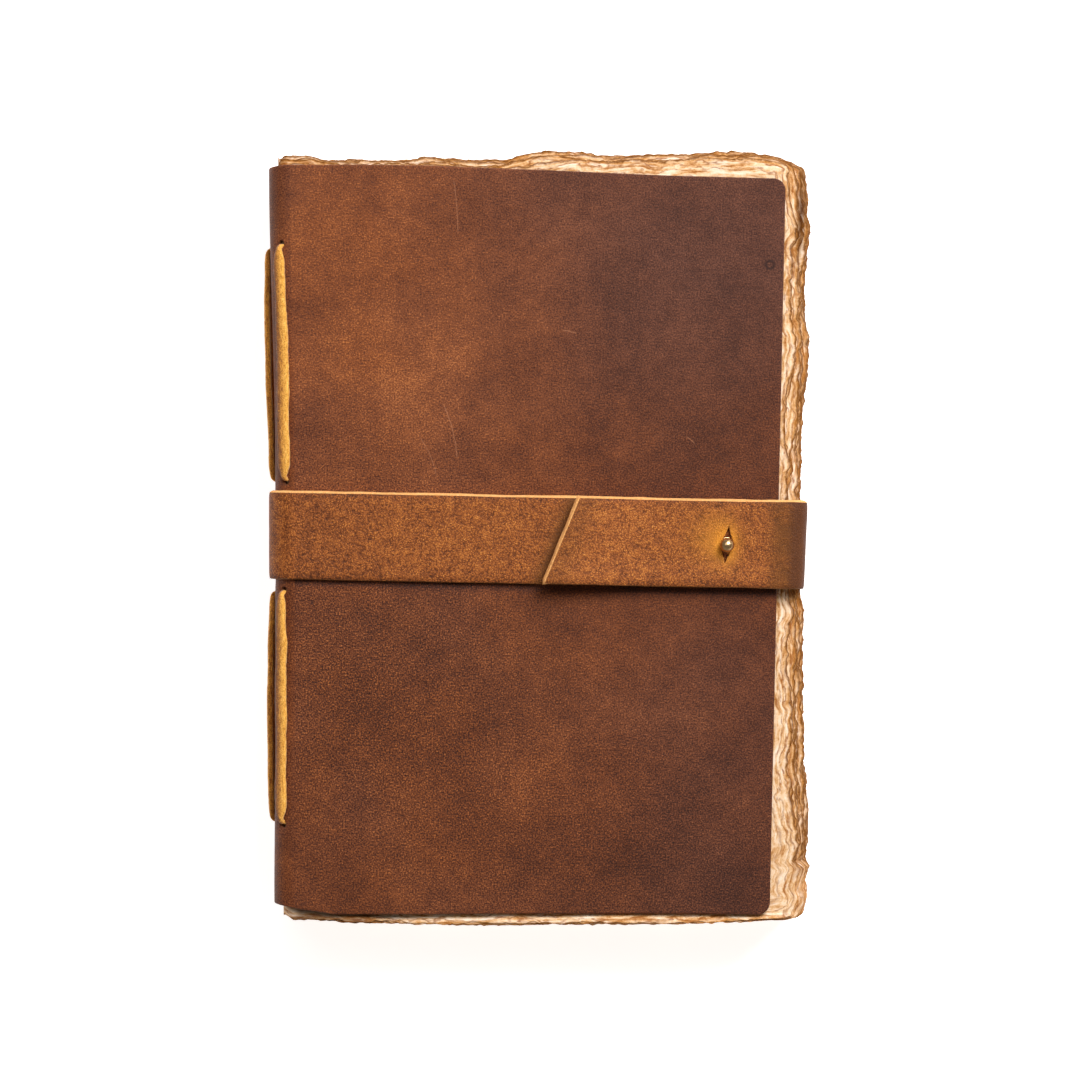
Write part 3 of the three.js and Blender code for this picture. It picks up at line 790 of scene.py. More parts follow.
def make_cover():
    holes = [(lace_s(k, hole), hole) for k in range(1, SIGNATURES + 1) for hole in HOLE_V]
    girths = [HINGE_S + SECTION * i for i in range(SIGNATURES + 1)]
    cuts_at = [girth - CUT_BEFORE for girth in girths[1:]]
    end = cover_route.length - RIM
    back_start = HINGE_S + GIRTH - CENTRE_X
    slot_edges = [back_start + side * place for side in (-1, 1) for place in (SLOT_NEAR - RIM, SLOT_FAR + RIM)]
    lines = [(RIM, RIM + CORNER, 0.6), (RIM + CORNER, HINGE_S - 5, 1.5), (HINGE_S - 5, HINGE_S + GIRTH + 5, 0.5),
             (HINGE_S + GIRTH + 5, end - CORNER, 1.5), (end - CORNER, end, 0.6)]
    marks = cuts_at + slot_edges + [s + side * HOLE_HALF for s, _ in holes for side in (-1, 1)]
    s_line = np.concatenate([
        stations([low, high] + [mark for mark in marks if low < mark < high], step)[:-1] for low, high, step in lines
    ] + [[end]])
    bands = sorted(HOLE_V)
    rows = [-HALF_HEIGHT, CORNER - HALF_HEIGHT, HALF_HEIGHT - CORNER, HALF_HEIGHT]
    slot_rows = [STRAP_Y - SLOT_HALF - RIM, STRAP_Y + SLOT_HALF + RIM]
    fine = [hole + side * reach for hole in bands for side in (-1, 1) for reach in (HOLE_HALF, 3.2)]
    v_line = stations(rows + slot_rows + fine, 1.5)
    extra = [stations([hole - 3.2, hole - HOLE_HALF, hole + HOLE_HALF, hole + 3.2], 0.5) for hole in bands]
    extra += [stations(rows[:2], 0.6), stations(rows[2:], 0.6)]
    v_line = np.unique(np.round(np.concatenate([v_line] + extra), 4))
    v_line = v_line[np.concatenate([[True], np.diff(v_line) > 0.05])]
    s, v = np.meshgrid(s_line, v_line, indexing="ij")
    mid_s = (s[:-1, :-1] + s[1:, 1:]) / 2
    mid_v = (v[:-1, :-1] + v[1:, 1:]) / 2
    keep = np.ones(mid_s.shape, bool)
    for hole_s, hole_v in holes:
        keep &= ~((np.abs(mid_s - hole_s) < HOLE_HALF) & (np.abs(mid_v - hole_v) < HOLE_HALF))
    for low, high in zip(slot_edges[::2], slot_edges[1::2]):
        low, high = min(low, high), max(low, high)
        keep &= ~((mid_s > low) & (mid_s < high) & (mid_v > slot_rows[0]) & (mid_v < slot_rows[1]))
    for hole_s, hole_v in holes:
        s, v = square_to_round(s, v, hole_s, hole_v, HOLE_HALF, 3.0)
    for corner_s, way_s in ((RIM, -1), (end, 1)):
        for way_v in (-1, 1):
            s, v = round_corner(s, v, corner_s, way_v * HALF_HEIGHT, way_s, way_v, CORNER)
    wobble = 0.35 * layered(s / 45, np.sign(v) * 3.0, 0.0, 5, 3)
    v = v + wobble * (np.abs(v) / HALF_HEIGHT) ** 6 * np.sign(v)
    points, raw, faces, band_of, cap = leather(s, v, keep, COVER_T, RIM)
    flat = points.copy()
    fs, fv, fh = flat.T
    under_strap = smooth((17.5 - np.abs(fv - STRAP_Y)) / 3)
    wave = 0.13 * layered(fs / 26, fv / 26, 0.0, 11, 3) * (1 - under_strap)
    dimple = sum(np.exp(-((fs - hole_s) ** 2 + (fv - hole_v) ** 2) / 5.0) for hole_s, hole_v in holes)
    pressed = 0.10 * smooth((16.2 - np.abs(fv - STRAP_Y)) / 1.5)
    shaped = flat.copy()
    shaped[:, 2] += wave - 0.3 * np.minimum(dimple, 1.2) - pressed * (fh > -1.0)
    tone, cool, fleck = cover_tone(fs, fv)
    flesh = (fh < -COVER_T + 0.05).astype(float)
    attributes = {"flat": flat, "tone": tone, "cool": cool, "fleck": fleck, "raw": raw, "flesh": flesh}
    cut_rows = [int(np.argmin(np.abs(s_line - cut))) for cut in cuts_at]
    pieces = cut_pieces("cover", rested(lay_cover(shaped)), faces, band_of, cap, cut_rows, len(s_line) - 1,
                        attributes, COVER)
    for number, piece in enumerate(pieces):
        x, z, heading = (float(c[0]) for c in cover_route.at(np.array([girths[number]]), 0.0))
        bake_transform(piece)
        if number < SIGNATURES:
            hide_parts(f"spine_panel_{number + 1}")
    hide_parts("front_cover")
    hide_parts("back_cover")


make_cover()

# ---------------------------------------------------------------- strap

STRAP_RIM = 0.35
STRAP_HALF = (ARM_HIGH[1] - ARM_LOW[1] - STRAP_SKEW * (ARM_HIGH[0] - ARM_LOW[0])) / 2 - STRAP_RIM
STRAP_R = SPINE_R + STRAP_OUT
ARM_LENGTH = ARM_HIGH[0] - CENTRE_X
RAMP_ANGLE = math.degrees(math.atan2(RUN_HIGH_Z - STRAP_T, SLOT_FAR - 0.4 - (SLOT_NEAR + 0.4)))
RAMP_R = 3.0
TIP_MIDDLE_X, TIP_SLANT = 8.1, 5.8
EDGE_LEAN = 0.62
TIP_LEAN = 0.95
SLIT_HALF = 7.0
SLIT_WIDE = 2.6
SLIT_TILT = -0.11
END_SLANT = 0.045

strap_route = Route(ARM_HIGH[0], ARM_HIGH[2], 180)
strap_route.straight(ARM_LENGTH).turn(STRAP_R, 90).straight(SPINE_FLAT).turn(STRAP_R, 90)
BACK_START = strap_route.length
ramp_bend = RAMP_R * math.tan(math.radians(RAMP_ANGLE) / 2)
ramp_long = math.hypot(RUN_HIGH_Z - STRAP_T, SLOT_FAR - SLOT_NEAR - 0.8)
strap_route.straight(-CENTRE_X - (SLOT_FAR - 0.4) - ramp_bend).turn(RAMP_R, RAMP_ANGLE)
strap_route.straight(ramp_long - 2 * ramp_bend).turn(RAMP_R, -RAMP_ANGLE)
strap_route.straight(2 * (SLOT_NEAR + 0.4) - 2 * ramp_bend).turn(RAMP_R, -RAMP_ANGLE)
strap_route.straight(ramp_long - 2 * ramp_bend).turn(RAMP_R, RAMP_ANGLE)
strap_route.straight(SIDE_X - CORNER_R - strap_route.end[0])
CORNER_S = strap_route.length
strap_route.turn(CORNER_R, 90).straight(FLAP_HIGH_Z - 2 * CORNER_R)
TOP_CORNER_S = strap_route.length
strap_route.turn(CORNER_R, 90)
FLAP_S = strap_route.length
strap_route.straight(SIDE_X - CORNER_R - TIP_MIDDLE_X)


def lay_strap(flat):
    s, v, height = flat.T
    x, z, _ = strap_route.at(s, height)
    slant = END_SLANT * (STRAP_HALF - v) * smooth((x - 66) / 20)
    return np.stack([x - slant, v + STRAP_Y - STRAP_SKEW * x, z], 1)


def strap_girth(girth):
    """Where a place on the spine's girth comes on the strap's route."""
    first = min(girth, QUARTER) / SPINE_R * STRAP_R
    flat_part = min(max(girth - QUARTER, 0), SPINE_FLAT)
    last = max(girth - QUARTER - SPINE_FLAT, 0) / SPINE_R * STRAP_R
    return ARM_LENGTH + first + flat_part + last


def make_strap():
    girths = [strap_girth(SECTION * i) for i in range(SIGNATURES + 1)]
    middle_s = BACK_START + 78
    wall_s = (CORNER_S + FLAP_S) / 2
    cuts_at = [girth - CUT_BEFORE for girth in girths[1:]] + [middle_s, wall_s]
    slit_s = FLAP_S + (SIDE_X - CORNER_R - STUD_X)
    slit_v = STUD_Y - STRAP_Y + STRAP_SKEW * STUD_X
    end = strap_route.length
    spread = 5.0
    marks = [STRAP_RIM, end] + cuts_at + [slit_s - spread, slit_s - 0.15, slit_s + 0.15, slit_s + spread]
    s_line = stations(marks, 0.85)
    fine = [stations([CORNER_S - 1, FLAP_S + 1], 0.5), stations([slit_s - spread, slit_s - 0.15], 0.45),
            stations([slit_s + 0.15, slit_s + spread], 0.45), stations([girths[0] - 2, girths[-1] + 2], 0.55)]
    s_line = np.sort(np.concatenate([s_line] + fine))
    wanted = np.array(marks)
    near = np.abs(s_line[:, None] - wanted[None]).min(axis=1)
    s_line = s_line[(near < 1e-3) | (near > 0.2)]
    s_line = s_line[np.concatenate([[True], np.diff(s_line) > 0.12])]
    v_line = stations([-STRAP_HALF, slit_v - SLIT_HALF, slit_v + SLIT_HALF, STRAP_HALF - 1.2, STRAP_HALF], 0.75)
    s, v = np.meshgrid(s_line, v_line, indexing="ij")
    mid_s = (s[:-1, :-1] + s[1:, 1:]) / 2
    mid_v = (v[:-1, :-1] + v[1:, 1:]) / 2
    keep = ~((np.abs(mid_s - slit_s) < 0.14) & (np.abs(mid_v - slit_v) < SLIT_HALF))
    dv = (v - slit_v) / SLIT_HALF
    wide = SLIT_WIDE * np.clip(1 - np.abs(dv), 0, 1) ** 1.5 + 0.2 * np.clip(1 - np.abs(dv), 0, 0.2) / 0.2
    ds = s - slit_s
    share = np.clip(1 - np.abs(ds) / spread, 0, 1)
    tilt = SLIT_TILT * np.clip(v - slit_v, -8, 8) * smooth(share * 1.3)
    s = s + np.sign(ds) * wide * share + tilt
    tip_share = smooth((s - (end - 45)) / 45) ** 0.8
    s = s - tip_share * TIP_SLANT * v / STRAP_HALF
    wander = 0.22 * layered(s / 18, np.sign(v) * 5.0, 0.0, 23, 4)
    v = v + wander * (np.abs(v) / STRAP_HALF) ** 4 * np.sign(v)
    lean = np.zeros(s.shape)
    lean[:, -1] = EDGE_LEAN * (1 + 0.35 * layered(s[:, -1] / 9, 0.0, 0.0, 31, 3))
    lean[-1, :] = TIP_LEAN * (1 + 0.25 * layered(v[-1, :] / 5, 2.0, 0.0, 37, 3))
    points, raw, faces, band_of, cap = leather(s, v, keep, STRAP_T, STRAP_RIM, lean)
    flat = points.copy()
    fs, fv, fh = flat.T
    on_grain = (fh > -0.6).astype(float)
    rim_drop = np.exp(-(STRAP_HALF - np.abs(fv)) / 0.9)
    wave = 0.09 * layered(fs / 14, fv / 10, 0.0, 41, 4)
    slit_far = np.hypot((fs - slit_s), (fv - slit_v))
    dip = 0.35 * np.exp(-(slit_far / 4.0) ** 2)
    shaped = flat.copy()
    shaped[:, 2] += (wave - 0.18 * rim_drop - dip) * on_grain
    shaped[:, 2] += 3.8 * smooth((fs - end + 38) / 38) ** 1.6
    shaped[:, 2] += 0.5 * smooth((fs - FLAP_S) / 15) * smooth((-fv - 4) / 10)
    x, _, _ = strap_route.at(fs, 0.0)
    flap = fs > FLAP_S
    # rim_drop darkens the strap along both borders, where they round down: painted shade.
    tone = 0.485 + 0.04 * layered(fs / 30, fv / 12, 0.0, 43, 3) - 0.12 * rim_drop
    tone = tone + 0.05 * flap * smooth((60 - x) / 40) - 0.06 * (fs < ARM_LENGTH) * smooth((-40 - x) / 40)
    close = np.exp(-np.hypot((fs - slit_s - 0.6) / 3.4, (fv - slit_v - 0.3) / 5.4) ** 2)
    wider = 0.4 * np.exp(-np.hypot((fs - slit_s - 4) / 7, (fv - slit_v - 2) / 7) ** 2)
    halo = np.clip((close + wider) * (1.2 + 0.5 * layered(fs / 2.5, fv / 2.5, 0.0, 47, 3)), 0, 1) * flap
    # Painted shade, mottled, over the strap's bend at the fore edge.
    band = smooth((fs - TOP_CORNER_S + 16) / 16) * smooth((FLAP_S + 10.5 - fs) / 7)
    shade_and_smudge = np.clip(band * (0.7 + 0.3 * layered(fs / 5, fv / 5, 0.0, 53, 3)), 0, 1)
    # The flap's leather darkens toward its slanted tip.
    shade_and_smudge = shade_and_smudge + 0.3 * smooth((fs - (end - 12 - TIP_SLANT * fv / STRAP_HALF)) / 10) * (fs > FLAP_S)
    # Painted shadow: a dark band on the arm just beyond the flap's slanted tip, where the lifted tip's shadow falls.
    past_tip = TIP_MIDDLE_X + TIP_SLANT * fv / STRAP_HALF - x
    shade_and_smudge = shade_and_smudge + 0.8 * np.exp(-((past_tip - 1.5) / 3.4) ** 2) * (fs < ARM_LENGTH)
    # turned marks the top corner's bend, where the strap goes down to the fore edge, for painted shade.
    turned = smooth((fs - TOP_CORNER_S + 10) / 10) * smooth((FLAP_S + 2.5 - fs) / 4)
    flesh = (fh < -STRAP_T + 0.05).astype(float) * (raw < 0.5)
    attributes = {"flat": flat, "tone": tone, "halo": halo, "shade_and_smudge": np.clip(shade_and_smudge, 0, 0.9),
                  "turned": turned * 0.85, "raw": raw, "flesh": flesh}
    cut_rows = [int(np.argmin(np.abs(s_line - cut))) for cut in cuts_at]
    pieces = cut_pieces("strap", rested(lay_strap(shaped)), faces, band_of, cap, cut_rows, len(s_line) - 1,
                        attributes, STRAP)
    hinges = [(girth, 2.2) for girth in girths]
    hinges += [((CORNER_S + CORNER_S + CORNER_R * math.pi / 2) / 2, 3.8), ((TOP_CORNER_S + FLAP_S) / 2, 3.8)]
    for number, (piece, (place, half)) in enumerate(zip(pieces, hinges)):
        x, z, heading = (float(c[0]) for c in strap_route.at(np.array([place]), 0.0))
        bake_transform(piece)
        if number < SIGNATURES:
            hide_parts(f"strap_spine_{number + 1}")
    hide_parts("strap_stud_arm")
    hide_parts("strap_back")
    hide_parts("strap_fore_edge")
    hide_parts("strap_flap")


make_strap()

# ---------------------------------------------------------------- pages

SHEETS = 8
LEAVES = 2 * SHEETS * SIGNATURES
LEAF_T = 0.27
PITCH = (PAGES_HIGH_Z - PAGES_LOW_Z) / SIGNATURES
LEAF_PITCH = PITCH / (2 * SHEETS)
FOLD_X = box("signature_1_outer")[0][0]
FOLD_R = 3.3
FOLD_CENTRE_X = FOLD_X + FOLD_R
PAGE_HALF = 126.5
HALF_LENGTH = 171.1
FAR_LOW_X, FAR_LOW_Y, FAR_STEP = -100.0, -135.0, 5.0


CLUMPS = np.array([0, 2, 4, 8, 11, 15, 20, 27, 31, 38, 44, 50, 57, 63, 71])


def gap_field():
    """Share of the block's spare height that lies above each leaf, on a lattice over the page."""
    x = np.arange(FAR_LOW_X, 101, FAR_STEP)
    y = np.arange(FAR_LOW_Y, 136, FAR_STEP)
    gx, gy = np.meshgrid(x, y, indexing="ij")
    gaps = []
    for number in range(LEAVES):
        value = noise(gx / 46, gy / 46, number * 5.3, 201) + 0.5 * noise(gx / 17, gy / 17, number * 3.1, 207)
        gap = np.exp(2.4 * value) * (7.0 if number in CLUMPS else 0.3)
        if number == 4:
            gap = gap + 22 * bump_at(gx, gy, 90, 112, 22, 34)
        gaps.append(gap)
    total = np.cumsum(np.array(gaps), axis=0)
    return total / (total[-1] + np.array(gaps).mean(axis=0))


GAPS = gap_field()


def spare_above(leaf, x, y):
    """That share at any place, read from the lattice."""
    field = GAPS[leaf]
    gx = np.clip((x - FAR_LOW_X) / FAR_STEP, 0, field.shape[0] - 1.001)
    gy = np.clip((y - FAR_LOW_Y) / FAR_STEP, 0, field.shape[1] - 1.001)
    ix, iy = gx.astype(int), gy.astype(int)
    fx, fy = gx - ix, gy - iy
    near = field[ix, iy] * (1 - fy) + field[ix, iy + 1] * fy
    far = field[ix + 1, iy] * (1 - fy) + field[ix + 1, iy + 1] * fy
    return near * (1 - fx) + far * fx


# The block's outline from above: its head and tail edges along X and its fore edge along Y
HEAD_EDGE = [(-88, 123.6), (-86, 126.0), (-82, 127.1), (-75, 127.2), (-71, 126.1), (-42, 126.1), (-34, 127.0),
             (-20, 125.9), (-10, 126.2), (0, 128.7), (14, 128.4), (22, 127.1), (45, 127.7), (60, 128.6),
             (70, 128.6), (78, 127.6), (83, 126.0), (86, 124.4), (89, 123.6)]
TAIL_EDGE = [(-86, 122.9), (-84, 125.0), (-81, 126.5), (-62, 127.5), (-39, 128.3), (0, 128.3), (50, 128.0),
             (77, 126.8), (86, 126.2), (89, 124.9)]
FORE_EDGE = [(-127, 88.2), (-121, 89.6), (-116, 89.1), (-111, 90.9), (-108, 89.0), (-102, 90.5), (-87, 89.7),
             (-77, 88.3), (-60, 88.1), (-41, 87.7), (-34, 88.2), (-24, 88.1), (-18, 87.0), (16, 87.0), (24, 87.5),
             (32, 87.6), (44, 88.6), (52, 89.6), (66, 90.5), (72, 89.6), (79, 88.9), (98, 89.7), (105, 91.2),
             (112, 89.8), (121, 89.7), (127, 88.9)]


def terrace(leaf, place, seed, deepest, wander):
    """How far inside the block's outline a leaf's torn edge runs: the top clumps of leaves step back."""
    clump = np.searchsorted(CLUMPS, leaf, side="right") - 1
    back = deepest * np.exp(-clump / 1.7) + 0.3
    back = back + wander * (noise(place / 20, clump * 2.7, 0.0, seed) + 0.5 * noise(place / 8, clump * 3.9, 0.0, seed))
    return np.clip(back, 0, None) + 0.25 + 0.25 * noise(place / 9, leaf * 1.7, 0.0, seed + 1)


def trimmed(edge, level, leaf):
    """An outline whose bumps past a level fade out down the block."""
    return edge - 0.8 * np.clip(edge - level, 0, None) * smooth((leaf - 10) / 24)


def lay_leaf(signature, sheet, s, v, height):
    """A folded sheet's flat points: round its fold, then out in two leaves that gather into clumps."""
    fold = 0.86 + 0.322 * sheet
    far = (sheet + 0.5) * LEAF_PITCH
    middle = PAGES_HIGH_Z - PITCH * (signature - 0.5)
    arc = fold * math.pi / 2
    beyond = np.clip(np.abs(s) - arc, 0, None)
    angle = np.clip(s / fold, -math.pi / 2, math.pi / 2)
    x = FOLD_CENTRE_X - fold * np.cos(angle) + beyond
    upper = s > 0
    first = 2 * SHEETS * (signature - 1)
    leaf_up, leaf_down = first + SHEETS - 1 - sheet, first + SHEETS + sheet
    leaf = np.where(upper, leaf_up, leaf_down)
    fore = trimmed(curve(FORE_EDGE, v), 88.2, leaf) - terrace(leaf, v, 501, 4.4, 1.3)
    fore = fore + 0.45 * noise(v / 2.4, leaf * 0.4, 0.0, 503)
    x = x + (fore - (FOLD_CENTRE_X + HALF_LENGTH - arc)) * smooth((x + 60) / 145)
    head = trimmed(curve(HEAD_EDGE, x), 126.6, leaf) - terrace(leaf, x, 511, 2.6, 1.1)
    tail = curve(TAIL_EDGE, x) - terrace(leaf, x, 521, 0.3, 0.4)
    y = v + np.where(v > 0, head - PAGE_HALF, PAGE_HALF - tail) * smooth((np.abs(v) - 60) / 66)
    z_far = np.where(upper, middle + far, middle - far)
    spare = PAGES_HIGH_Z - PAGES_LOW_Z - LEAVES * LEAF_T
    share = np.where(upper, spare_above(leaf_up, x, y), spare_above(leaf_down, x, y))
    z_edge = PAGES_HIGH_Z - (leaf + 0.5) * LEAF_T - spare * share
    from_edge = np.minimum(HALF_LENGTH - np.abs(s), PAGE_HALF - np.abs(v))
    loose = smooth(1 - from_edge / 16) * smooth((x + 72) / 30)
    z_leaf = z_far + (z_edge - z_far) * loose
    depth = leaf / (LEAVES - 1)
    sag = 2.0 * smooth((np.abs(v - STRAP_Y) - 17) / 22) * smooth((x + 70) / 40) * np.clip((depth - 0.45) / 0.55, 0, 1) ** 2
    outside = np.maximum(x - 81.0, np.abs(y + 1) - 122.5)
    droop = np.where(y < 0, 0.0, 0.8) * smooth(outside / 6) * smooth((x + 60) / 30)
    droop = droop - 2.6 * smooth((-124.0 - y) / 3.2) * smooth((x + 86) / 10) * smooth((87 - x) / 6)
    ripple = 0.55 * noise(x / 9, y / 9, leaf * 0.06, 531) * smooth((outside + 1) / 4) * smooth((x + 60) / 30)
    z_leaf = z_leaf - sag + (ripple - droop) * (1 - depth) ** 1.5
    z_fold = middle + fold * np.sin(angle)
    z = z_fold + (z_leaf - z_fold) * smooth((x - FOLD_CENTRE_X) / 24)
    turned = np.where(np.abs(s) < arc, angle, np.sign(s) * math.pi / 2)
    x = x - bulge(x, v)
    return np.stack([x - height * np.cos(turned), y, z + height * np.sin(turned)], 1), leaf


def sheet_mesh(signature, sheet):
    """One torn-edged folded sheet: coarse inside, fine near its edges, closed by a rim."""
    fine = signature == 1
    step_s, step_v = {1: (0.75, 0.75), 2: (1.3, 1.0)}.get(signature, (2.2, 1.8))
    inner = 6.0 if fine and sheet == SHEETS - 1 else 24.0
    ends = [0.0, 0.7, 1.8, 4.0, 7.5, 12.0]
    edge_rows = [-PAGE_HALF + e for e in ends]
    v_coarse = np.concatenate([edge_rows[:-1], stations([edge_rows[-1], -edge_rows[-1]], inner),
                               [-e for e in edge_rows[:-1]][::-1]])
    v_fine = stations(list(v_coarse), step_v)
    fold_half = (0.86 + 0.322 * sheet) * math.pi / 2
    limit = HALF_LENGTH - ends[-1]
    s_middle = np.unique(np.concatenate([
        stations([-limit, -fold_half - 2, fold_half + 2, limit], step_s),
        stations([-fold_half - 2, fold_half + 2], 0.8)]).round(4))
    s_end = np.array([HALF_LENGTH - e for e in ends])[::-1]
    s_all, v_all, index = [], [], {}

    def point(s, v):
        key = (round(float(s), 4), round(float(v), 4))
        if key not in index:
            index[key] = len(s_all)
            s_all.append(s)
            v_all.append(v)
        return index[key]

    faces = []
    between = {float(low): [v for v in v_fine if low + 1e-4 < v < high - 1e-4]
               for low, high in zip(v_coarse, v_coarse[1:])}
    for left, right in zip(s_middle, s_middle[1:]):
        for low, high in zip(v_coarse, v_coarse[1:]):
            first = [point(left, low)]
            if left == s_middle[0]:
                first += [point(left, v) for v in between[float(low)]]
            second = [point(right, high)]
            if right == s_middle[-1]:
                second += [point(right, v) for v in reversed(between[float(low)])]
            faces.append(first + [point(left, high)] + second + [point(right, low)])
    for way in (1, -1):
        line = s_end if way > 0 else -s_end[::-1]
        for left, right in zip(line, line[1:]):
            for low, high in zip(v_fine, v_fine[1:]):
                faces.append([point(left, low), point(left, high), point(right, high), point(right, low)])
    s, v = np.array(s_all), np.array(v_all)
    seed = signature * 40 + sheet * 3
    corners = [(way_s, way_v) for way_s in (-1, 1) for way_v in (-1, 1)]
    edge = np.minimum(HALF_LENGTH - np.abs(s), PAGE_HALF - np.abs(v))
    border = edge < 1e-3
    for way_s, way_v in corners:
        radius = 1.2 + 0.5 * lattice(np.array(seed), np.array(way_s), np.array(way_v), 9)
        s, v = round_corner(s, v, way_s * HALF_LENGTH, way_v * PAGE_HALF, way_s, way_v, float(radius))
    near = np.exp(-edge / 1.6)
    tear_s = 0.8 * layered(v / 4.5, np.sign(s) * 4.0, 0.0, seed, 4) * layered(v / 20, 0.0, 0.0, seed + 5, 2, 0.8)
    tear_s = 0.7 * tear_s + 0.4 * layered(v / 3.0, np.sign(s) * 4.0, 0.0, seed + 7, 3)
    tear_v = 0.55 * layered(s / 4.0, np.sign(v) * 4.0, 0.0, seed + 2, 4)
    if signature < 3:
        tear_s = tear_s + 0.4 * noise(v / 1.6, np.sign(s) * 4.0, 0.0, seed + 9)
        tear_v = tear_v + 0.35 * noise(s / 1.6, np.sign(v) * 4.0, 0.0, seed + 11)
    s = s + np.sign(s) * tear_s * near * smooth((np.abs(s) - 150) / 12)
    v = v + np.sign(v) * tear_v * near * smooth((np.abs(v) - 105) / 12)
    count = len(s)
    border_edges = {}
    for face in faces:
        for a, b in zip(face, face[1:] + face[:1]):
            if border[a] and border[b]:
                if (b, a) in border_edges:
                    del border_edges[(b, a)]
                else:
                    border_edges[(a, b)] = True
    away = outward_turns(s, v, list(border_edges))
    order = sorted(away)
    place = {point_index: number for number, point_index in enumerate(order)}
    out = np.array([away[p] for p in order])
    rim_s, rim_v = s[order] + 0.12 * out[:, 0], v[order] + 0.12 * out[:, 1]
    thin = np.where(edge < 0.4, 0.6, 1.0) * LEAF_T / 2
    top, leaf = lay_leaf(signature, sheet, s, v, thin)
    low, _ = lay_leaf(signature, sheet, s, v, -thin)
    rim, rim_leaf = lay_leaf(signature, sheet, rim_s, rim_v, np.zeros(len(order)))
    all_faces = faces + [[index + count for index in reversed(face)] for face in faces]
    for a, b in border_edges:
        ra, rb = 2 * count + place[a], 2 * count + place[b]
        all_faces.append([b, a, ra, rb])
        all_faces.append([rb, ra, count + a, count + b])
    points = np.concatenate([top, low, rim])
    flat = np.concatenate([np.stack([s, v, np.full(count, 9.0 * seed)], 1)] * 2
                          + [np.stack([rim_s, rim_v, np.full(len(order), 9.0 * seed)], 1)])
    flat[count:2 * count, 2] += 4.5
    # Toward the tail the edge is counted as further in, which narrows the brown torn edge there: painted light on the
    # strip that the cover's edge shades.
    edge_all = np.concatenate([edge, edge, np.zeros(len(order))]) + 0.75 * smooth((-105 - flat[:, 1]) / 15)
    rim_all = np.concatenate([np.zeros(2 * count), np.ones(len(order))])
    leaf_all = np.concatenate([leaf, leaf, rim_leaf])
    shade = lattice(leaf_all.astype(np.int64), np.zeros(len(leaf_all), np.int64), np.zeros(len(leaf_all), np.int64), 77)
    beside = (PAGE_HALF - np.abs(flat[:, 1])) - (HALF_LENGTH - np.abs(flat[:, 0]))
    x, y, _ = points.T
    # Painted shade down the crevice near the head of the fore edge, on the upper leaves.
    dark = bump_at(x, y, 87.4 - 0.05 * (108 - y), 106, 1.3, 12) * (leaf_all < 2 * SHEETS)
    # The top leaves darker at the tail's left corner: partly a stain, partly painted shade.
    dark = dark + 0.7 * np.exp(-leaf_all / 9) * smooth((-117 - y) / 5) * smooth((-46 - x) / 14) * smooth((x + 84) / 6)
    return points, all_faces, {"flat": flat, "edge": edge_all, "rim": rim_all, "leaf": shade, "dark": dark,
                               "fore": smooth(beside / 8 + 0.5)}


def make_pages():
    bundles = {"outer": (5, 6, 7), "middle": (2, 3, 4), "inner": (0, 1)}
    for signature in range(1, SIGNATURES + 1):
        for bundle, sheets in bundles.items():
            made = [sheet_mesh(signature, sheet) for sheet in sheets]
            points, faces = joined([(part[0], part[1]) for part in made])
            attributes = {key: np.concatenate([part[2][key] for part in made]) for key in made[0][2]}
            piece = mesh_object(f"pages_{signature}_{bundle}", points, faces, PAPER, attributes)
            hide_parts(f"signature_{signature}_{bundle}")
            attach(piece, f"section_{signature}")


make_pages()

# ---------------------------------------------------------------- laces

LACE_WIDE, LACE_T = 4.1, 2.1
LEG_WIDE = 1.5
LEG_SHIFT = 0.75
INSIDE_RUN_X = FOLD_CENTRE_X + 1.1


def stitch(number, v_high, v_low, seed):
    """One long stitch down the spine, its ends bent into their holes and down to the fold."""
    length = v_high - v_low
    steps = [(share, LEG_SHIFT, 0.0) for share in np.linspace(1.0, 0.12, 8)]
    steps += [(0.0, LEG_SHIFT + along, height) for along, height in ((0.05, -0.15), (0.25, 0.4), (0.65, 0.75), (1.2, 0.95))]
    middle = [(0.0, along, 1.0) for along in np.arange(LEG_SHIFT + 1.9, length / 2, 0.7)]
    first = steps + middle
    share, along, height = (np.array(part) for part in zip(*(first + [(a, length - b, c) for a, b, c in first[::-1]])))
    v = v_high - along
    grown = smooth(np.minimum(along, length - along) / 6)
    stand = 0.85 * np.sin(math.pi * np.clip(along / length, 0, 1)) if number > 1 else 0.0
    height = height + (stand + 0.12 * noise(along / 9, number, 0.0, seed)) * grown
    s = lace_s(number, v_high + v_low) + 0.25 * noise(v / 13, number, 2.0, seed) * grown
    outside = lay_cover(np.stack([s, v, height], 1))
    inside = np.stack([np.full(len(v), INSIDE_RUN_X), outside[:, 1],
                       np.full(len(v), PAGES_HIGH_Z - PITCH * (number - 0.5))], 1)
    path = outside + (inside - outside) * share[:, None]
    _, _, heading = cover_route.at(s, 0.0)
    across = np.stack([np.cos(heading), 0 * heading, np.sin(heading)], 1)
    width = (LEG_WIDE + (LACE_WIDE - LEG_WIDE) * grown) * (1 + 0.12 * noise(along / 6, number, 1.0, seed) * grown)
    thick = LEG_WIDE + (LACE_T - LEG_WIDE) * grown
    points, faces, ring = tube(path, across, width, thick, 22)
    which = ring[:, 0].astype(int)
    fuzz = (0.10 * layered(points[:, 1] / 0.9, ring[:, 1] * 2.4, number, seed + 5, 3)) * grown[which]
    points = points + (points - path[which]) * fuzz[:, None]
    normal_x = across[which, 0] * np.cos(ring[:, 1]) + np.sin(heading)[which] * np.sin(ring[:, 1])
    # Painted shade: the first lace darker on its facet that faces away from the light, the others on their narrow
    # sides.
    side_shade = -0.25 - 1.2 * normal_x if number == 1 else 1.2 * np.abs(np.cos(ring[:, 1])) - 0.8
    return points, faces, np.clip(side_shade, 0, 1)


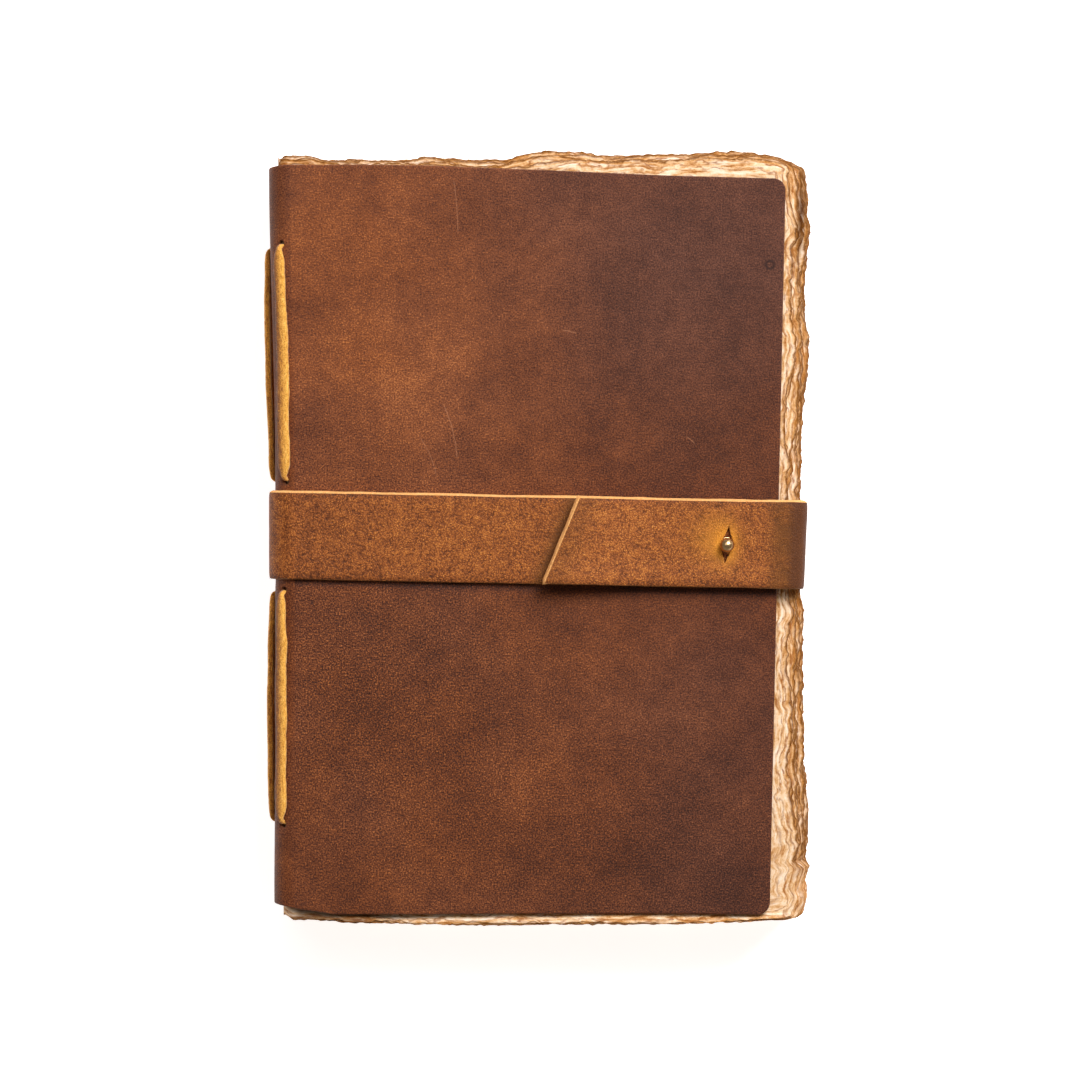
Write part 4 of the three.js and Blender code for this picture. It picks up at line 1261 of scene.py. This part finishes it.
def make_laces():
    head_top, head_low, tail_top, tail_low = HOLE_V
    for number in range(1, SIGNATURES + 1):
        parts = [stitch(number, head_top, head_low, 300 + number), stitch(number, tail_top, tail_low, 320 + number)]
        z = PAGES_HIGH_Z - PITCH * (number - 0.5)
        y = np.linspace(head_top + 0.8, tail_low - 0.8, 120)
        path = np.stack([np.full(120, INSIDE_RUN_X), y, np.full(120, z)], 1)
        side = np.tile(np.array([1.0, 0, 0]), (120, 1))
        run_points, run_faces, ring = tube(path, side, np.full(120, 2.1), np.full(120, 0.85), 12)
        parts.append((run_points, run_faces, np.full(len(run_points), 0.3)))
        points, faces = joined([(part[0], part[1]) for part in parts])
        attributes = {"flat": points.copy(), "side": np.concatenate([part[2] for part in parts])}
        piece = mesh_object(f"lace_leather_{number}", points, faces, LACE, attributes)
        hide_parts(f"lace_{number}")
        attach(piece, f"section_{number}")


make_laces()

# ---------------------------------------------------------------- stud

BALL_R = 2.35
BALL_Z = STUD_HIGH[2] - BALL_R
SCREW_LOW, SCREW_HIGH = box("stud_screw")


def lathe(profile, centre_x, centre_y, segments=72):
    """A turned solid from (radius, z) steps that start and end on the axis, top first."""
    rings = [(radius, z) for radius, z in profile if radius > 1e-6]
    angles = np.linspace(0, 2 * math.pi, segments, endpoint=False)
    points = [[0, 0, profile[0][1]]]
    for radius, z in rings:
        points.extend([radius * math.cos(a), radius * math.sin(a), z] for a in angles)
    points.append([0, 0, profile[-1][1]])
    last = len(points) - 1
    faces = []
    for j in range(segments):
        k = (j + 1) % segments
        faces.append([0, 1 + j, 1 + k])
        for i in range(len(rings) - 1):
            a, b = 1 + i * segments, 1 + (i + 1) * segments
            faces.append([a + j, b + j, b + k, a + k])
        bottom = 1 + (len(rings) - 1) * segments
        faces.append([last, bottom + k, bottom + j])
    return np.array(points) + [centre_x, centre_y, 0], faces


def make_stud():
    ball = [(BALL_R * math.sin(t), BALL_Z + BALL_R * math.cos(t)) for t in np.linspace(0, math.pi * 0.80, 36)]
    neck_top = ball[-1][1]
    neck = [(1.22, neck_top - 0.25), (1.15, neck_top - 0.8), (1.2, ARM_HIGH[2] + 0.35), (1.45, ARM_HIGH[2] + 0.1)]
    flange = [(2.8, ARM_HIGH[2] - 0.02), (3.12, ARM_HIGH[2] - 0.12), (3.2, ARM_HIGH[2] - 0.3),
              (3.2, ARM_HIGH[2] - 0.7), (2.1, ARM_HIGH[2] - 0.75), (2.1, SCREW_HIGH[2] - 2.2)]
    bottom = [(0.0, SCREW_HIGH[2] - 2.2)]
    points, faces = lathe(ball + neck + flange + bottom, STUD_X, STUD_Y)
    dent = 0.02 * layered(points[:, 0] / 1.1, points[:, 1] / 1.1, points[:, 2] / 1.1, 401, 3)
    points = points + (points - [STUD_X, STUD_Y, BALL_Z]) * dent[:, None] * (points[:, 2:3] > BALL_Z - 1.5)
    piece = mesh_object("brass_ball", points, faces, BRASS)
    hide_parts("stud_ball")
    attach(piece, "front")
    head = 4.0
    face_z = FRONT_LOW[2] - 0.05
    upper = [(0.0, face_z + 1.6), (2.0, face_z + 1.6), (2.0, face_z + 0.8), (head, face_z + 0.8),
             (head, face_z + 0.25), (head - 0.08, face_z + 0.1), (head - 0.25, face_z)]
    lower = [(radius, face_z) for radius in np.arange(head - 0.5, 0.1, -0.2)] + [(0.0, face_z)]
    points, faces = lathe(upper + lower, STUD_X, STUD_Y, 96)
    cut = smooth((0.62 - np.abs(points[:, 1] - STUD_Y)) / 0.16) * (points[:, 2] < face_z + 0.3)
    points[:, 2] += 0.45 * cut
    screw = mesh_object("screw_head", points, faces, BRASS)
    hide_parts("stud_screw")
    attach(screw, "front")


make_stud()

# ---------------------------------------------------------------- table, light and camera

VIEW_WIDTH = 357.6
VIEW_X, VIEW_Y = 0.66, -0.5
CAMERA_HEIGHT = 2.0
FLOOR_SIZE = 6.0


def floor():
    mesh = bpy.data.meshes.new("floor")
    half = FLOOR_SIZE / 2
    mesh.from_pydata([(-half, -half, 0), (half, -half, 0), (half, half, 0), (-half, half, 0)], [], [(0, 1, 2, 3)])
    shader = Shader("floor")
    place = shader.add("ShaderNodeTexCoord").outputs["Object"]
    tint = shader.mix(shader.noise(place, 3.0), (240, 240, 240), (236, 236, 236))
    shader.set(shader.surface, {"Emission Color": (1, 1, 1, 1), "Emission Strength": 0.8})
    mesh.materials.append(shader.finish(colour=tint, rough=0.9, gloss=0.0))
    made = bpy.data.objects.new("floor", mesh)
    bpy.context.collection.objects.link(made)


def lamp(name, place, target, size, power):
    data = bpy.data.lights.new(name, "AREA")
    data.shape, data.size, data.energy = "DISK", size, power
    made = bpy.data.objects.new(name, data)
    made.location = place
    made.rotation_euler = (Vector(target) - Vector(place)).to_track_quat("-Z", "Y").to_euler()
    bpy.context.collection.objects.link(made)


def sky():
    """Soft warm light from all round, dimmer overhead so that leather doesn't glare."""
    world = bpy.data.worlds.new("sky")
    bpy.context.scene.world = world
    world.use_nodes = True
    tree = world.node_tree
    tree.nodes.clear()
    where = tree.nodes.new("ShaderNodeTexCoord")
    split = tree.nodes.new("ShaderNodeSeparateXYZ")
    ramp = tree.nodes.new("ShaderNodeValToRGB")
    back = tree.nodes.new("ShaderNodeBackground")
    out = tree.nodes.new("ShaderNodeOutputWorld")
    tree.links.new(where.outputs["Generated"], split.inputs[0])
    tree.links.new(split.outputs[2], ramp.inputs[0])
    for element, place, share in zip(ramp.color_ramp.elements, (0.35, 0.95), (1.0, 0.45)):
        element.position = place
        element.color = (share, 0.9 * share, 0.78 * share, 1)
    tree.links.new(ramp.outputs[0], back.inputs["Color"])
    back.inputs["Strength"].default_value = 0.3
    tree.links.new(back.outputs[0], out.inputs["Surface"])


def camera():
    data = bpy.data.cameras.new("camera")
    data.lens = data.sensor_width * CAMERA_HEIGHT / (VIEW_WIDTH * MM)
    made = bpy.data.objects.new("camera", data)
    made.location = (VIEW_X * MM, VIEW_Y * MM, CAMERA_HEIGHT + FRONT_HIGH[2] * MM)
    bpy.context.collection.objects.link(made)
    bpy.context.scene.camera = made


floor()
lamp("key", (0.7, 1.1, 1.55), (0, 0, 0.03), 1.2, 52.0)
lamp("fill", (-0.4, 0.7, 1.8), (0, 0, 0.03), 0.9, 5.0)
sky()
camera()
bpy.context.scene.view_settings.view_transform = "Standard"
